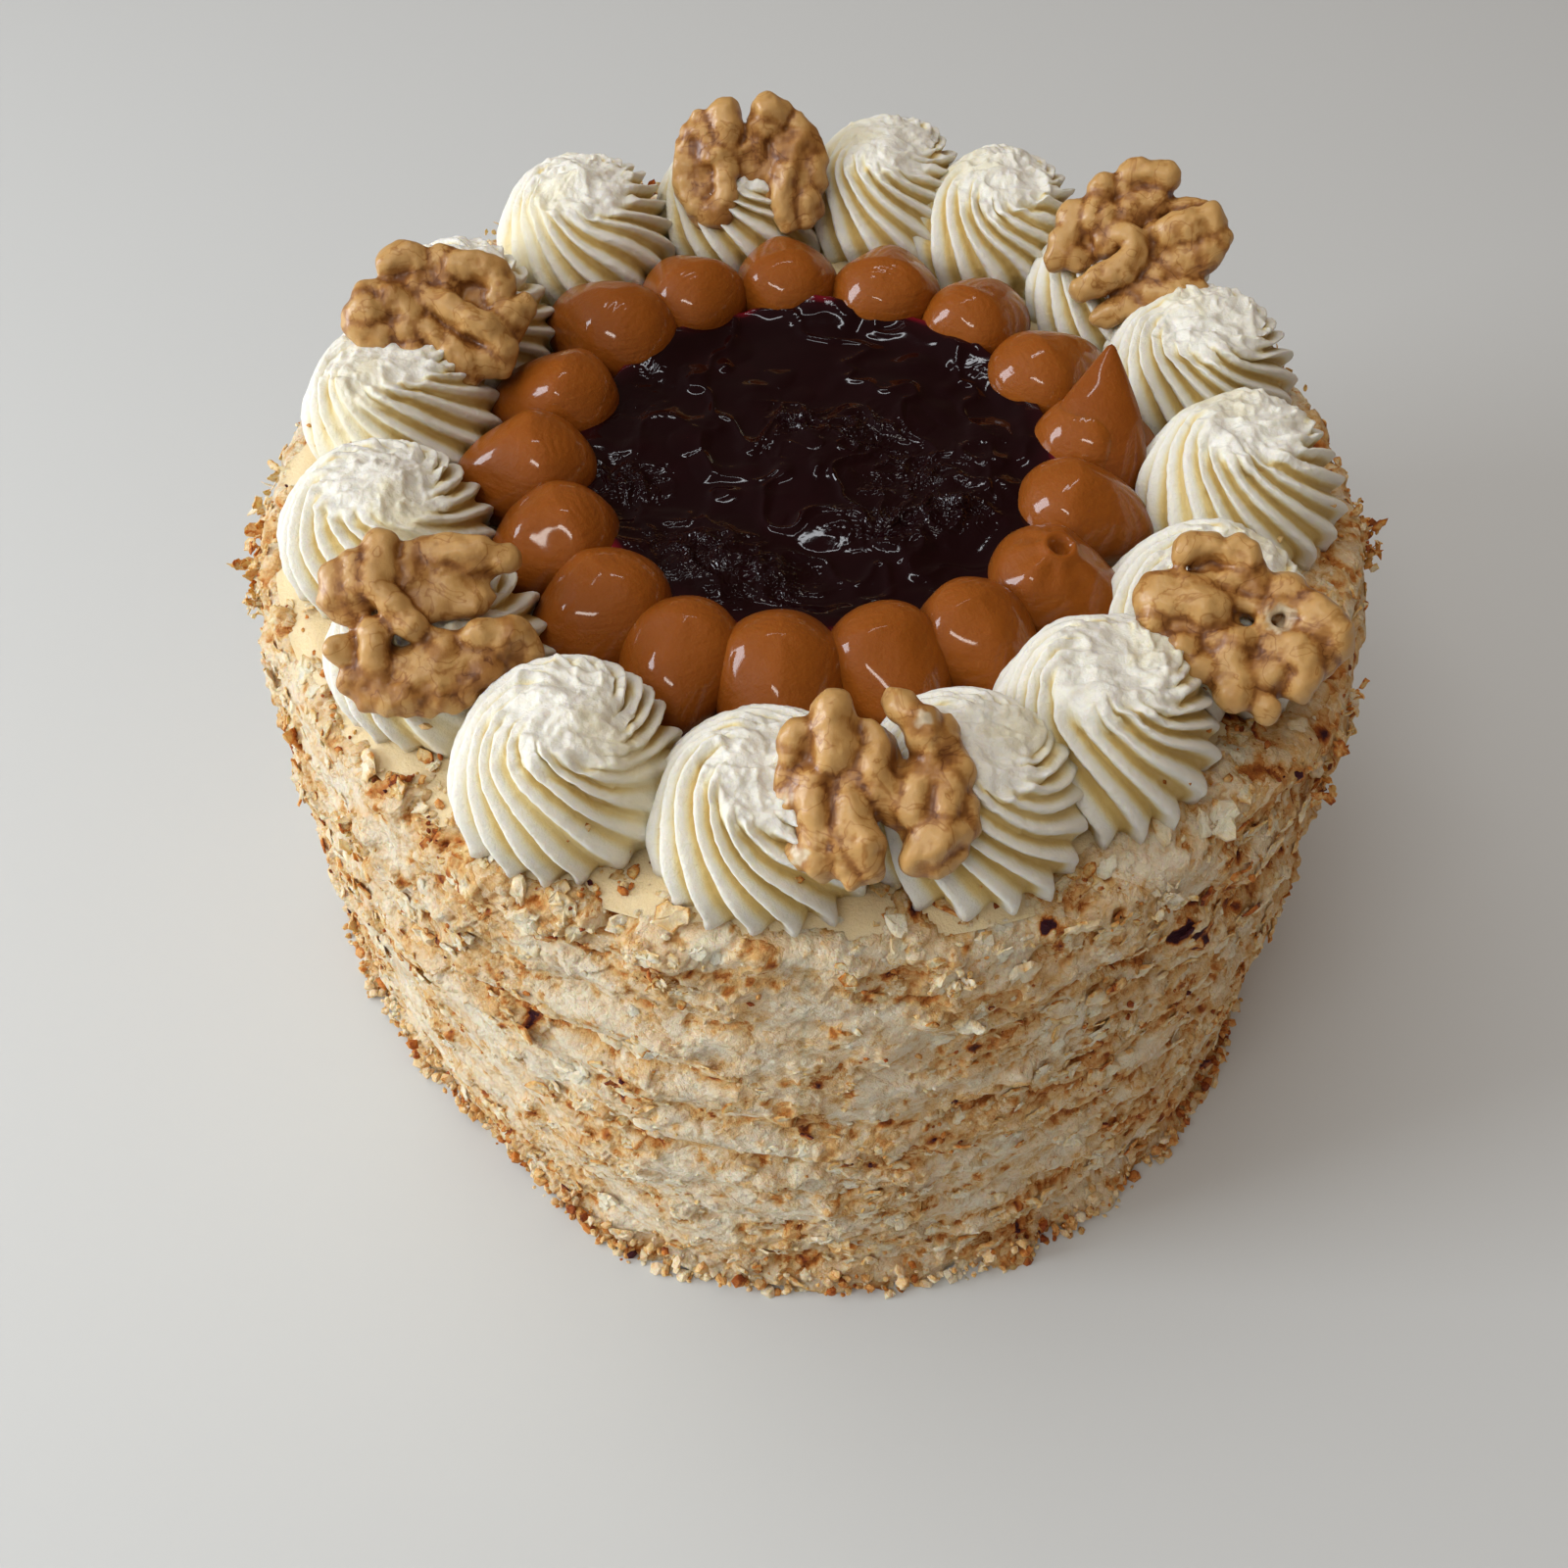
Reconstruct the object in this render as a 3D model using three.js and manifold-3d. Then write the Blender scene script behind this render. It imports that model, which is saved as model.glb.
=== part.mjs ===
// A tall round dulce de leche layer cake, uncut: a body coated in pastry crumbs and flakes, a smooth
// cream top, a ring of piped cream rosettes, a ring of dulce de leche beads round a pool of dark fruit
// jam, and six walnut halves resting on the rosettes.
// Millimetres, +Z up. The origin is the middle of the cake's flat underside. -Y is the front.

import * as THREE from 'three';
import { ImprovedNoise } from 'three/addons/math/ImprovedNoise.js';
import { mergeVertices } from 'three/addons/utils/BufferGeometryUtils.js';
import Module from 'manifold-3d';

const wasm = await Module();
wasm.setup();

// Driving dimensions
const CAKE_HEIGHT = 128;
const CAKE_RADIUS = 111;
const TOP_CREAM_RADIUS = 101;
const TOP_CREAM_DEPTH = 6;
const CAKE_SIDES = 56;
const FIT_GAP = 0.3;
const PIPING_CENTRE = new THREE.Vector2(0, -2);

// The piping stands on the cream, a fit gap above it
const PIPING_BASE = CAKE_HEIGHT + FIT_GAP;
const ROSETTE_COUNT = 16;
const ROSETTE_RADIUS = 17.6;
const ROSETTE_RIDGES = 18;
const ROSETTE_TWIST = 88;
const BEAD_COUNT = 17;
const BEAD_HALF_WIDTH = 10.8;
const BEAD_HALF_LENGTH = 11.6;
const BEAD_HEIGHT = 15.5;
const JAM_RADIUS = 47;
const JAM_DEPTH = 7.5;

// Rosettes keep outside the first circle, and beads between the other two
const ROSETTE_INNER_LIMIT = 65.3;
const BEAD_OUTER_LIMIT = 63.7;
const BEAD_INNER_LIMIT = 30;

// How each rosette strays from an even ring, starting near the back and running clockwise: degrees off
// the pitch, distance from the piping's centre, and height
const FIRST_ROSETTE = 106;
const ROSETTE_NUDGES = [-4, -3, 2, 2, 5, 2.5, 0, -1.5, 2, 1.5, 1, -0.5, 0, -0.5, 2, -2];
const ROSETTE_REACHES = [82, 84, 84, 84, 83, 81, 81, 82, 85, 86, 86, 82, 81, 81, 81, 84];
const ROSETTE_HEIGHTS = [20, 22, 21, 20, 21, 23, 21, 24, 23, 22, 22, 20, 21, 21, 20, 21];

// The same for the beads
const FIRST_BEAD = 118;
const BEAD_NUDGES = [1.6, 1.4, -0.4, -0.9, -3, -5, -3.5, -4.7, -5, -2.2, -1.5, 1.5, 3.5, 4, 4, 3.5, 0];
const BEAD_REACHES = [54, 54, 53, 53.5, 52, 53, 50, 52, 52, 51.5, 53.5, 54, 53.5, 52, 53.5, 52, 55];
const TAILED_BEAD = 5;

// Walnut halves: where the middle lies, the half's length and width, which way its open face looks in
// plan and above the horizon, and how far its seam is turned from straight up the slope
const WALNUTS = [
  { at: [-15, 73, 149], length: 30, width: 31, facing: 268, lean: 40, turn: 0 },
  { at: [61, 46, 149], length: 36, width: 31, facing: 252, lean: 50, turn: -45 },
  { at: [67, -55, 149], length: 36, width: 29, facing: 255, lean: 62, turn: 62 },
  { at: [9, -88, 148.5], length: 31, width: 27, facing: 264, lean: 62, turn: 4 },
  { at: [-62, -57, 148.5], length: 36, width: 28, facing: 285, lean: 62, turn: -82 },
  { at: [-71, 18, 148.5], length: 36, width: 26, facing: 285, lean: 55, turn: 50 },
];
const WALNUT_HALF_DEPTH = 7.5;

// Pastry flakes that stand up on the rim: direction in degrees, size, and height of their middle
const RIM_FLAKES = [
  [22, 9, 127], [75, 8, 128], [96, 7, 127], [113, 12, 129], [119, 8, 128], [131, 11, 128], [146, 10, 127],
  [158, 9, 126], [180, 11, 122], [187, 12, 120], [192, 9, 116], [222, 10, 114], [327, 12, 119],
  [333, 9, 122], [356, 10, 124], [2, 8, 121], [258, 7, 121], [283, 7, 122], [304, 8, 122],
];
const FLAKE_ROWS = 7;
const FLAKES_IN_A_ROW = 10;
const FLAKE_SEED = 20;
const FOOT_CRUMBS = 16;
const FLAKE_SHIFTS = [0, 1.5, 3];

// Materials
const finishes = {
  pastry: new THREE.MeshStandardMaterial({ color: '#dfc8a0', roughness: 0.95, metalness: 0 }),
  cream: new THREE.MeshStandardMaterial({ color: '#efecdc', roughness: 0.6, metalness: 0 }),
  dulce: new THREE.MeshStandardMaterial({ color: '#98581f', roughness: 0.25, metalness: 0 }),
  jam: new THREE.MeshStandardMaterial({ color: '#22090f', roughness: 0.12, metalness: 0 }),
  walnut: new THREE.MeshStandardMaterial({ color: '#b98a53', roughness: 0.65, metalness: 0 }),
};

const noise = new ImprovedNoise();
const radians = THREE.MathUtils.degToRad;

// A repeatable draw between 0 and 1
function seededDraw(seed) {
  let state = seed;
  return () => {
    state = (Math.imul(state, 1664525) + 1013904223) >>> 0;
    return state / 4294967296;
  };
}

// A point at an angle in degrees and a distance from a centre in plan
function polar(angle, distance, height, centre = PIPING_CENTRE) {
  const x = centre.x + distance * Math.cos(radians(angle));
  const y = centre.y + distance * Math.sin(radians(angle));
  return new THREE.Vector3(x, y, height);
}

// A closed surface of rings between two poles. pointAt(ring, turn) gives a ring's point at a turn in
// radians, and the rings run from the bottom pole to the top one
function ringSurface(ringCount, around, pointAt, bottom, top) {
  const points = [bottom];
  for (let ring = 0; ring < ringCount; ring += 1) {
    for (let step = 0; step < around; step += 1) {
      points.push(pointAt(ring, (2 * Math.PI * step) / around));
    }
  }
  points.push(top);
  const index = [];
  const at = (ring, step) => 1 + ring * around + (step % around);
  for (let step = 0; step < around; step += 1) {
    index.push(0, at(0, step + 1), at(0, step));
    index.push(points.length - 1, at(ringCount - 1, step), at(ringCount - 1, step + 1));
  }
  for (let ring = 0; ring + 1 < ringCount; ring += 1) {
    for (let step = 0; step < around; step += 1) {
      index.push(at(ring, step), at(ring, step + 1), at(ring + 1, step + 1));
      index.push(at(ring, step), at(ring + 1, step + 1), at(ring + 1, step));
    }
  }
  const geometry = new THREE.BufferGeometry();
  geometry.setAttribute('position', new THREE.Float32BufferAttribute(points.flatMap((p) => p.toArray()), 3));
  geometry.setIndex(index);
  return geometry;
}

function toSolid(geometry) {
  const bare = geometry.clone();
  bare.deleteAttribute('normal');
  bare.deleteAttribute('uv');
  const merged = mergeVertices(bare, 1e-3);
  return new wasm.Manifold(new wasm.Mesh({
    numProp: 3,
    vertProperties: new Float32Array(merged.attributes.position.array),
    triVerts: new Uint32Array(merged.index.array),
  }));
}

function toGeometry(solid) {
  const mesh = solid.getMesh();
  const geometry = new THREE.BufferGeometry();
  geometry.setAttribute('position', new THREE.Float32BufferAttribute(mesh.vertProperties, 3));
  geometry.setIndex(Array.from(mesh.triVerts));
  return geometry;
}

// The largest body of a solid, without the loose scraps that a cut can leave
function withoutScraps(solid) {
  return solid.decompose().sort((a, b) => b.volume() - a.volume())[0];
}

// An upright block with straight sides over a list of corners in plan
function uprightBlock(corners, low, high) {
  const outline = new THREE.Shape(corners.map((corner) => new THREE.Vector2(corner.x, corner.y)));
  const block = new THREE.ExtrudeGeometry(outline, { depth: high - low, bevelEnabled: false });
  return toSolid(block.translate(0, 0, low));
}

// The part of the piping's ring that belongs to one piece: half way to each neighbour, less a gap
function ringSlice(from, to, inner, outer) {
  const middle = (from + to) / 2;
  const apexShift = FIT_GAP / 2 / Math.sin(radians((to - from) / 2));
  const shift = polar(middle, apexShift, 0, new THREE.Vector2());
  const corner = (angle, distance) => polar(angle, distance, 0).add(shift);
  const corners = [corner(from, inner), corner(from, outer), corner(to, outer), corner(to, inner)];
  return uprightBlock(corners, PIPING_BASE - 1, 1.5 * CAKE_HEIGHT);
}

// Angles of a clockwise ring of pieces, each a little off the even pitch
function ringAngles(first, nudges) {
  return nudges.map((nudge, place) => first - (360 / nudges.length) * place + nudge);
}

// The edges of a piece's slice, from half way to the next piece to half way to the one before
function sliceEdges(angles, place) {
  const count = angles.length;
  const before = place === 0 ? angles[count - 1] + 360 : angles[place - 1];
  const after = place === count - 1 ? angles[0] - 360 : angles[place + 1];
  return [(angles[place] + after) / 2, (angles[place] + before) / 2];
}

// A rosette is a broad dome with sharp ridges and round flutes. They run down from the crown, turn
// counter-clockwise on the way and flare into lobes at the foot
function rosette(angle, reach, height) {
  const rings = [
    { radius: 0.99, height: 0, ridge: 0.09 },
    { radius: 0.87, height: 0.52, ridge: 0.07 },
    { radius: 0.47, height: 0.93, ridge: 0.06 },
  ];
  const centre = polar(angle, reach, PIPING_BASE);
  const pointAt = (ring, turn) => {
    const form = rings[ring];
    const crest = Math.cos(ROSETTE_RIDGES * turn);
    const radius = ROSETTE_RADIUS * form.radius * (1 + form.ridge * crest);
    const twisted = turn + radians(angle - ROSETTE_TWIST * form.height);
    const rise = height * form.height;
    return new THREE.Vector3(radius * Math.cos(twisted), radius * Math.sin(twisted), rise).add(centre);
  };
  const around = 2 * ROSETTE_RIDGES;
  const crown = centre.clone().setZ(PIPING_BASE + height);
  return toSolid(ringSurface(rings.length, around, pointAt, centre, crown));
}

// A bead is a plump drop: round in front, towards the jam, lower and drawn out behind
function bead(angle, reach) {
  const rings = [
    { size: 0.96, height: 0, back: 0 },
    { size: 0.93, height: 0.54, back: -0.03 },
    { size: 0.54, height: 0.93, back: -0.12 },
  ];
  const outward = polar(angle, 1, 0, new THREE.Vector2());
  const sideways = new THREE.Vector3(-outward.y, outward.x, 0);
  const centre = polar(angle, reach, PIPING_BASE);
  const place = (along, across, rise) => centre.clone()
    .addScaledVector(outward, along)
    .addScaledVector(sideways, across)
    .setZ(PIPING_BASE + rise);
  const pointAt = (ring, turn) => {
    const form = rings[ring];
    const along = BEAD_HALF_LENGTH * (form.size * Math.cos(turn) + form.back);
    const across = BEAD_HALF_WIDTH * form.size * Math.sin(turn);
    const droop = Math.cos(turn) > 0 ? 1 - 0.12 * form.height * Math.cos(turn) : 1;
    return place(along, across, BEAD_HEIGHT * form.height * droop);
  };
  const top = place(-0.18 * BEAD_HALF_LENGTH, 0, BEAD_HEIGHT);
  return toSolid(ringSurface(rings.length, 12, pointAt, centre, top));
}

// The tail of the one bead whose end was pulled up: a cone on a bend, from its back to a point that
// leans over the next bead
function beadTail(swell = 0) {
  const route = new THREE.CatmullRomCurve3([
    polar(3, 54, PIPING_BASE + 5),
    polar(8, 55.5, PIPING_BASE + 10),
    polar(14, 57.5, PIPING_BASE + 14),
    polar(21, 60, PIPING_BASE + 18),
  ]);
  const steps = 5;
  const sides = 8;
  const widths = [9, 9, 7.2, 4.6, 2.2];
  const pointAt = (ring, turn) => {
    const share = ring / steps;
    const middle = route.getPointAt(share);
    const along = route.getTangentAt(share);
    const side = new THREE.Vector3(0, 0, 1).cross(along).normalize();
    const over = along.clone().cross(side);
    const width = widths[ring] + swell;
    const flat = 0.55 * widths[ring] + swell;
    return middle.addScaledVector(side, width * Math.cos(turn)).addScaledVector(over, flat * Math.sin(turn));
  };
  const tip = route.getPointAt(1).addScaledVector(route.getTangentAt(1), swell);
  return toSolid(ringSurface(steps, sides, pointAt, route.getPointAt(0), tip));
}

// Turns and moves a walnut's shape from its own axes (across the seam, along it, out of the open face)
// to its place on the cake
function laidDown(geometry, half) {
  const lean = radians(half.lean);
  const normal = polar(half.facing, Math.cos(lean), Math.sin(lean), new THREE.Vector2());
  const upSlope = new THREE.Vector3(0, 0, 1).addScaledVector(normal, -normal.z).normalize();
  const seam = upSlope.applyAxisAngle(normal, radians(half.turn));
  const across = seam.clone().cross(normal);
  const placing = new THREE.Matrix4().makeBasis(across, seam, normal);
  return geometry.applyMatrix4(placing).translate(...half.at);
}

// A walnut half: two lobes beside a seam, notched at both ends, with a lumpy edge, a hollow in the open
// face of each lobe and a low wall between them
function walnut(half) {
  const rings = [
    { reach: 0.64, depth: -0.8, lump: 0.04, wall: 0 },
    { reach: 1, depth: -0.05, lump: 0.08, wall: 0 },
    { reach: 0.82, depth: 0.82, lump: 0.1, wall: -0.5 },
    { reach: 0.38, depth: 0.25, lump: 0.05, wall: 0.4 },
  ];
  const seed = half.turn * 0.1 + half.at[0] * 0.05;
  const pointAt = (ring, turn) => {
    const form = rings[ring];
    const onSeam = Math.abs(Math.sin(turn)) ** 10;
    const lump = 1 + form.lump * (Math.sin(5 * turn + seed) + 0.6 * Math.sin(7 * turn + 2 * seed + ring));
    const reach = form.reach * (1 - 0.24 * onSeam) * lump;
    const depth = form.depth + form.wall * onSeam + 0.12 * Math.sin(5 * turn + seed * 2 + ring);
    return new THREE.Vector3(
      (half.width / 2) * reach * Math.cos(turn),
      (half.length / 2) * reach * Math.sin(turn),
      WALNUT_HALF_DEPTH * depth,
    );
  };
  const back = new THREE.Vector3(0, 0, -WALNUT_HALF_DEPTH);
  const wall = new THREE.Vector3(0, 0, 0.7 * WALNUT_HALF_DEPTH);
  return laidDown(ringSurface(rings.length, 20, pointAt, back, wall), half);
}

// The space that a walnut takes from what it lies on, a plain faceted cushion round all its lumps
function walnutSpace(half) {
  const rings = [
    { reach: 0.82, depth: -1 },
    { reach: 1.17, depth: -0.1 },
    { reach: 1, depth: 1.1 },
  ];
  const pointAt = (ring, turn) => new THREE.Vector3(
    (half.width / 2) * rings[ring].reach * Math.cos(turn),
    (half.length / 2) * rings[ring].reach * Math.sin(turn),
    WALNUT_HALF_DEPTH * rings[ring].depth,
  );
  const back = new THREE.Vector3(0, 0, -1.15 * WALNUT_HALF_DEPTH);
  const front = new THREE.Vector3(0, 0, 1.15 * WALNUT_HALF_DEPTH);
  return toSolid(laidDown(ringSurface(rings.length, 10, pointAt, back, front), half));
}

// How far the jam reaches from the piping's centre in one direction: to the nearest bead in the way,
// taken as an ellipse in plan, less a gap, or else to the pool's own edge
function jamReach(turn) {
  const way = new THREE.Vector2(Math.cos(turn), Math.sin(turn));
  const gap = 1.6 * FIT_GAP;
  const hits = beadAngles.map((angle, place) => {
    const outward = new THREE.Vector2(Math.cos(radians(angle)), Math.sin(radians(angle)));
    const along = way.dot(outward) / BEAD_HALF_LENGTH;
    const across = way.cross(outward) / BEAD_HALF_WIDTH;
    const middle = BEAD_REACHES[place] / BEAD_HALF_LENGTH;
    const square = along ** 2 + across ** 2;
    const inside = (along * middle) ** 2 - square * (middle ** 2 - 1);
    return inside > 0 && along > 0 ? (along * middle - Math.sqrt(inside)) / square - gap : JAM_RADIUS;
  });
  return Math.min(JAM_RADIUS, ...hits);
}

// The pool of jam: a low lumpy disc that fills the ring of beads and runs a little way between them
function jamPool() {
  const rings = [
    { reach: 1, height: 0 },
    { reach: 1, height: 0.6 },
    { reach: 0.86, height: 1 },
    { reach: 0.45, height: 1 },
  ];
  const centre = polar(0, 0, PIPING_BASE);
  const lump = (x, y) => 2 * noise.noise(x / 11, y / 11, 3.7);
  const pointAt = (ring, turn) => {
    const form = rings[ring];
    const edge = jamReach(turn);
    const reach = ring < 2 ? edge : form.reach * (0.5 * edge + 0.5 * (BEAD_REACHES[0] - BEAD_HALF_LENGTH));
    const x = centre.x + reach * Math.cos(turn);
    const y = centre.y + reach * Math.sin(turn);
    const rise = ring === 0 ? 0 : JAM_DEPTH * form.height + lump(x, y);
    return new THREE.Vector3(x, y, PIPING_BASE + rise);
  };
  const top = centre.clone().setZ(PIPING_BASE + JAM_DEPTH);
  return ringSurface(rings.length, 3 * BEAD_COUNT, pointAt, centre, top);
}

// The smooth cream on top, a disc let into the body
function topCream() {
  const centre = new THREE.Vector3(0, 0, CAKE_HEIGHT - TOP_CREAM_DEPTH);
  const pointAt = (ring, turn) => {
    const height = centre.z + ring * TOP_CREAM_DEPTH;
    return new THREE.Vector3(TOP_CREAM_RADIUS * Math.cos(turn), TOP_CREAM_RADIUS * Math.sin(turn), height);
  };
  return ringSurface(2, CAKE_SIDES, pointAt, centre, centre.clone().setZ(CAKE_HEIGHT));
}

// How far the coat stands from the cake's axis: a slight taper to the top, the flattened front left of
// the foot, ledges where the layers press out, and lumps
function coatRadius(turn, height) {
  const share = height / CAKE_HEIGHT;
  const taper = 2 - 4 * share ** 1.5 - 4 * share ** 16;
  const flattened = 7 * Math.exp(-(((turn - radians(228)) / 0.4) ** 2)) * (1 - share);
  const spread = 2.5 * Math.exp(-(((turn - radians(305)) / 0.5) ** 2)) * (1 - share) ** 2;
  const around = [Math.cos(turn) * 3.2, Math.sin(turn) * 3.2];
  const ledge = 2.2 * noise.noise(around[0], around[1], height / 9);
  const lump = 1.6 * noise.noise(around[0] * 2.6 + 9, around[1] * 2.6, height / 14);
  return CAKE_RADIUS + taper - flattened + spread + ledge + lump;
}

// The cake itself, solid right through, with a shallow recess that holds the cream
function cakeCore() {
  const sideHeights = [4, 15, 27, 39, 51, 63, 75, 87, 99, 111, 121];
  const recess = TOP_CREAM_RADIUS + FIT_GAP;
  const recessFloor = CAKE_HEIGHT - TOP_CREAM_DEPTH - FIT_GAP;
  const ringCount = sideHeights.length + 4;
  const pointAt = (ring, turn) => {
    const x = Math.cos(turn);
    const y = Math.sin(turn);
    const inward = ringCount - 1 - ring;
    if (ring === 0) {
      const foot = coatRadius(turn, 0) - 2;
      return new THREE.Vector3(foot * x, foot * y, 0);
    }
    if (inward === 0) {
      return new THREE.Vector3(recess * x, recess * y, recessFloor);
    }
    if (inward === 1) {
      return new THREE.Vector3(recess * x, recess * y, CAKE_HEIGHT - 1);
    }
    if (inward === 2) {
      const rim = recess + 3.5 + 2.5 * noise.noise(4 * x, 4 * y, 1.3);
      return new THREE.Vector3(rim * x, rim * y, CAKE_HEIGHT - 0.8 + 1.2 * noise.noise(9 * x, 9 * y, 0.6));
    }
    const radius = coatRadius(turn, sideHeights[ring - 1]);
    return new THREE.Vector3(radius * x, radius * y, sideHeights[ring - 1]);
  };
  const bottom = new THREE.Vector3(0, 0, 0);
  const floor = new THREE.Vector3(0, 0, recessFloor);
  return toSolid(ringSurface(ringCount, CAKE_SIDES, pointAt, bottom, floor));
}

// A thin pastry flake with four uneven sides. Its sheet is tipped from lying against the coat (0) to
// standing straight out of it (a quarter turn), and rolled about the outward direction. It keeps off
// the floor
function flake(turn, distance, height, size, tip, roll, draw) {
  const corners = [];
  for (let corner = 0; corner < 4; corner += 1) {
    const reach = (size / 2) * (0.75 + 0.5 * draw());
    const way = (2 * Math.PI * corner) / 4 + 0.5 * draw();
    corners.push(new THREE.Vector2(reach * Math.cos(way), 0.72 * reach * Math.sin(way)));
  }
  const thick = 0.14 * size + 0.8;
  const sheet = new THREE.ExtrudeGeometry(new THREE.Shape(corners), { depth: thick, bevelEnabled: false });
  sheet.translate(0, 0, -thick / 2);
  sheet.rotateY(Math.PI / 2 - tip);
  sheet.rotateX(roll);
  sheet.rotateZ(turn);
  sheet.translate(distance * Math.cos(turn), distance * Math.sin(turn), height);
  const places = sheet.attributes.position;
  for (let i = 0; i < places.count; i += 1) {
    places.setZ(i, Math.max(places.getZ(i), FIT_GAP));
  }
  return toSolid(sheet);
}

// Every flake in the order it is laid: the large ones on the rim, then rows up the side, spread evenly
// with a little stray, and last the crumbs that gather round the foot
function flakePlan(draw) {
  const plan = [];
  for (const [direction, size, height] of RIM_FLAKES) {
    plan.push({ turn: radians(direction), height, size, out: 0, tip: 0.5 + 0.9 * draw() });
  }
  for (let row = 0; row < FLAKE_ROWS; row += 1) {
    for (let place = 0; place < FLAKES_IN_A_ROW; place += 1) {
      const turn = radians((360 / FLAKES_IN_A_ROW) * (place + 0.5 * (row % 2) + 0.7 * (draw() - 0.5)));
      const height = 9 + ((CAKE_HEIGHT - 16) / (FLAKE_ROWS - 1)) * (row + 0.6 * (draw() - 0.5));
      const size = 7 + 6 * draw() ** 2;
      plan.push({ turn, height, size, out: 0.5, tip: 0.2 + 1.2 * draw() });
    }
  }
  for (let place = 0; place < FOOT_CRUMBS; place += 1) {
    const turn = radians((360 / FOOT_CRUMBS) * (place + 0.6 * draw()));
    plan.push({ turn, height: 3 + 2 * draw(), size: 6 + 5 * draw(), out: 1, tip: 1 + 0.5 * draw() });
  }
  return plan;
}

// The body with its flakes joined on. A flake that would cross the cream, the piping or a walnut is
// moved out, and left off if it still does
function cakeBody(toppings) {
  const draw = seededDraw(FLAKE_SEED);
  let body = cakeCore();
  for (const { turn, height, size, out, tip } of flakePlan(draw)) {
    const surface = coatRadius(turn, Math.min(height, CAKE_HEIGHT - 7)) + out;
    const roll = (draw() - 0.5) * Math.PI;
    for (const step of FLAKE_SHIFTS) {
      const piece = flake(turn, surface + step, height, size, tip, roll, draw);
      if (piece.intersect(toppings).isEmpty() && !piece.intersect(body).isEmpty()) {
        body = body.add(piece);
        break;
      }
    }
  }
  return withoutScraps(body);
}

// Takes from a piece the space of each thing that lies on it
function giveWay(piece, others) {
  return others.reduce((left, other) => left.subtract(other), piece);
}

const cake = new THREE.Group();
cake.name = 'layer_cake';

// Adds a piece to the cake as a mesh that stands at its own foot
function addPiece(name, geometry, finish, foot) {
  const mesh = new THREE.Mesh(geometry.translate(-foot.x, -foot.y, -foot.z), finish);
  mesh.name = name;
  mesh.position.copy(foot);
  cake.add(mesh);
}

const twoDigits = (place) => String(place + 1).padStart(2, '0');
const walnutSpaces = WALNUTS.map(walnutSpace);
const beadAngles = ringAngles(FIRST_BEAD, BEAD_NUDGES);
const rosetteAngles = ringAngles(FIRST_ROSETTE, ROSETTE_NUDGES);
const tailSpace = beadTail(FIT_GAP);

WALNUTS.forEach((half, place) => {
  addPiece(`walnut_${place + 1}`, walnut(half), finishes.walnut, new THREE.Vector3(...half.at));
});

for (let place = 0; place < BEAD_COUNT; place += 1) {
  const slice = ringSlice(...sliceEdges(beadAngles, place), BEAD_INNER_LIMIT, BEAD_OUTER_LIMIT);
  let solid = bead(beadAngles[place], BEAD_REACHES[place]).intersect(slice);
  solid = place === TAILED_BEAD ? solid.add(beadTail()) : solid.subtract(tailSpace);
  solid = withoutScraps(giveWay(solid, walnutSpaces));
  const foot = polar(beadAngles[place], BEAD_REACHES[place], PIPING_BASE);
  addPiece(`dulce_${twoDigits(place)}`, toGeometry(solid), finishes.dulce, foot);
}

let toppings = walnutSpaces.reduce((all, space) => all.add(space), toSolid(topCream()));
for (let place = 0; place < ROSETTE_COUNT; place += 1) {
  const slice = ringSlice(...sliceEdges(rosetteAngles, place), ROSETTE_INNER_LIMIT, 1.2 * CAKE_RADIUS);
  const whole = rosette(rosetteAngles[place], ROSETTE_REACHES[place], ROSETTE_HEIGHTS[place]);
  const solid = withoutScraps(giveWay(whole.intersect(slice), [tailSpace, ...walnutSpaces]));
  const foot = polar(rosetteAngles[place], ROSETTE_REACHES[place], PIPING_BASE);
  addPiece(`rosette_${twoDigits(place)}`, toGeometry(solid), finishes.cream, foot);
  toppings = toppings.add(solid);
}

addPiece('fruit_jam', jamPool(), finishes.jam, polar(0, 0, PIPING_BASE));
addPiece('top_cream', topCream(), finishes.cream, new THREE.Vector3(0, 0, CAKE_HEIGHT - TOP_CREAM_DEPTH));
addPiece('cake_body', toGeometry(cakeBody(toppings)), finishes.pastry, new THREE.Vector3());

export default cake;
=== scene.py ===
"""A dulce de leche layer cake, uncut: pastry crumbs round the side, piped cream rosettes, beads of dulce de
leche, a pool of dark fruit jam and six walnut halves.

Shapes are worked out in millimetres, in the cake's own frame: the origin is the middle of its underside, +Z
is up and -Y is the front. Each mesh is turned into metres as it is made."""

import bpy
import numpy as np
from mathutils import Matrix, Vector


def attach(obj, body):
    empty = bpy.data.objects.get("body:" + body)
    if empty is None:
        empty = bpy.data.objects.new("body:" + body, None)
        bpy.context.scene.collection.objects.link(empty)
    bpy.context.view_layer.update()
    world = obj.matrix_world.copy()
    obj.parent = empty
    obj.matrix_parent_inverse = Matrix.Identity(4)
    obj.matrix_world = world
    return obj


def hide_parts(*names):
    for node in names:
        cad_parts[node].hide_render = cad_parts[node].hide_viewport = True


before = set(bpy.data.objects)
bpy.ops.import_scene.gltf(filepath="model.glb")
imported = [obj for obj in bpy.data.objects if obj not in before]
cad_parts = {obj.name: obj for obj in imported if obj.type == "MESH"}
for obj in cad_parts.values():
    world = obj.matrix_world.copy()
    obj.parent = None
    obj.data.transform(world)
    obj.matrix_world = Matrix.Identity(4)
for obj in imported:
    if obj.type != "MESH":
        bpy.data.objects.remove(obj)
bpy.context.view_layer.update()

MM = 0.001

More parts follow.
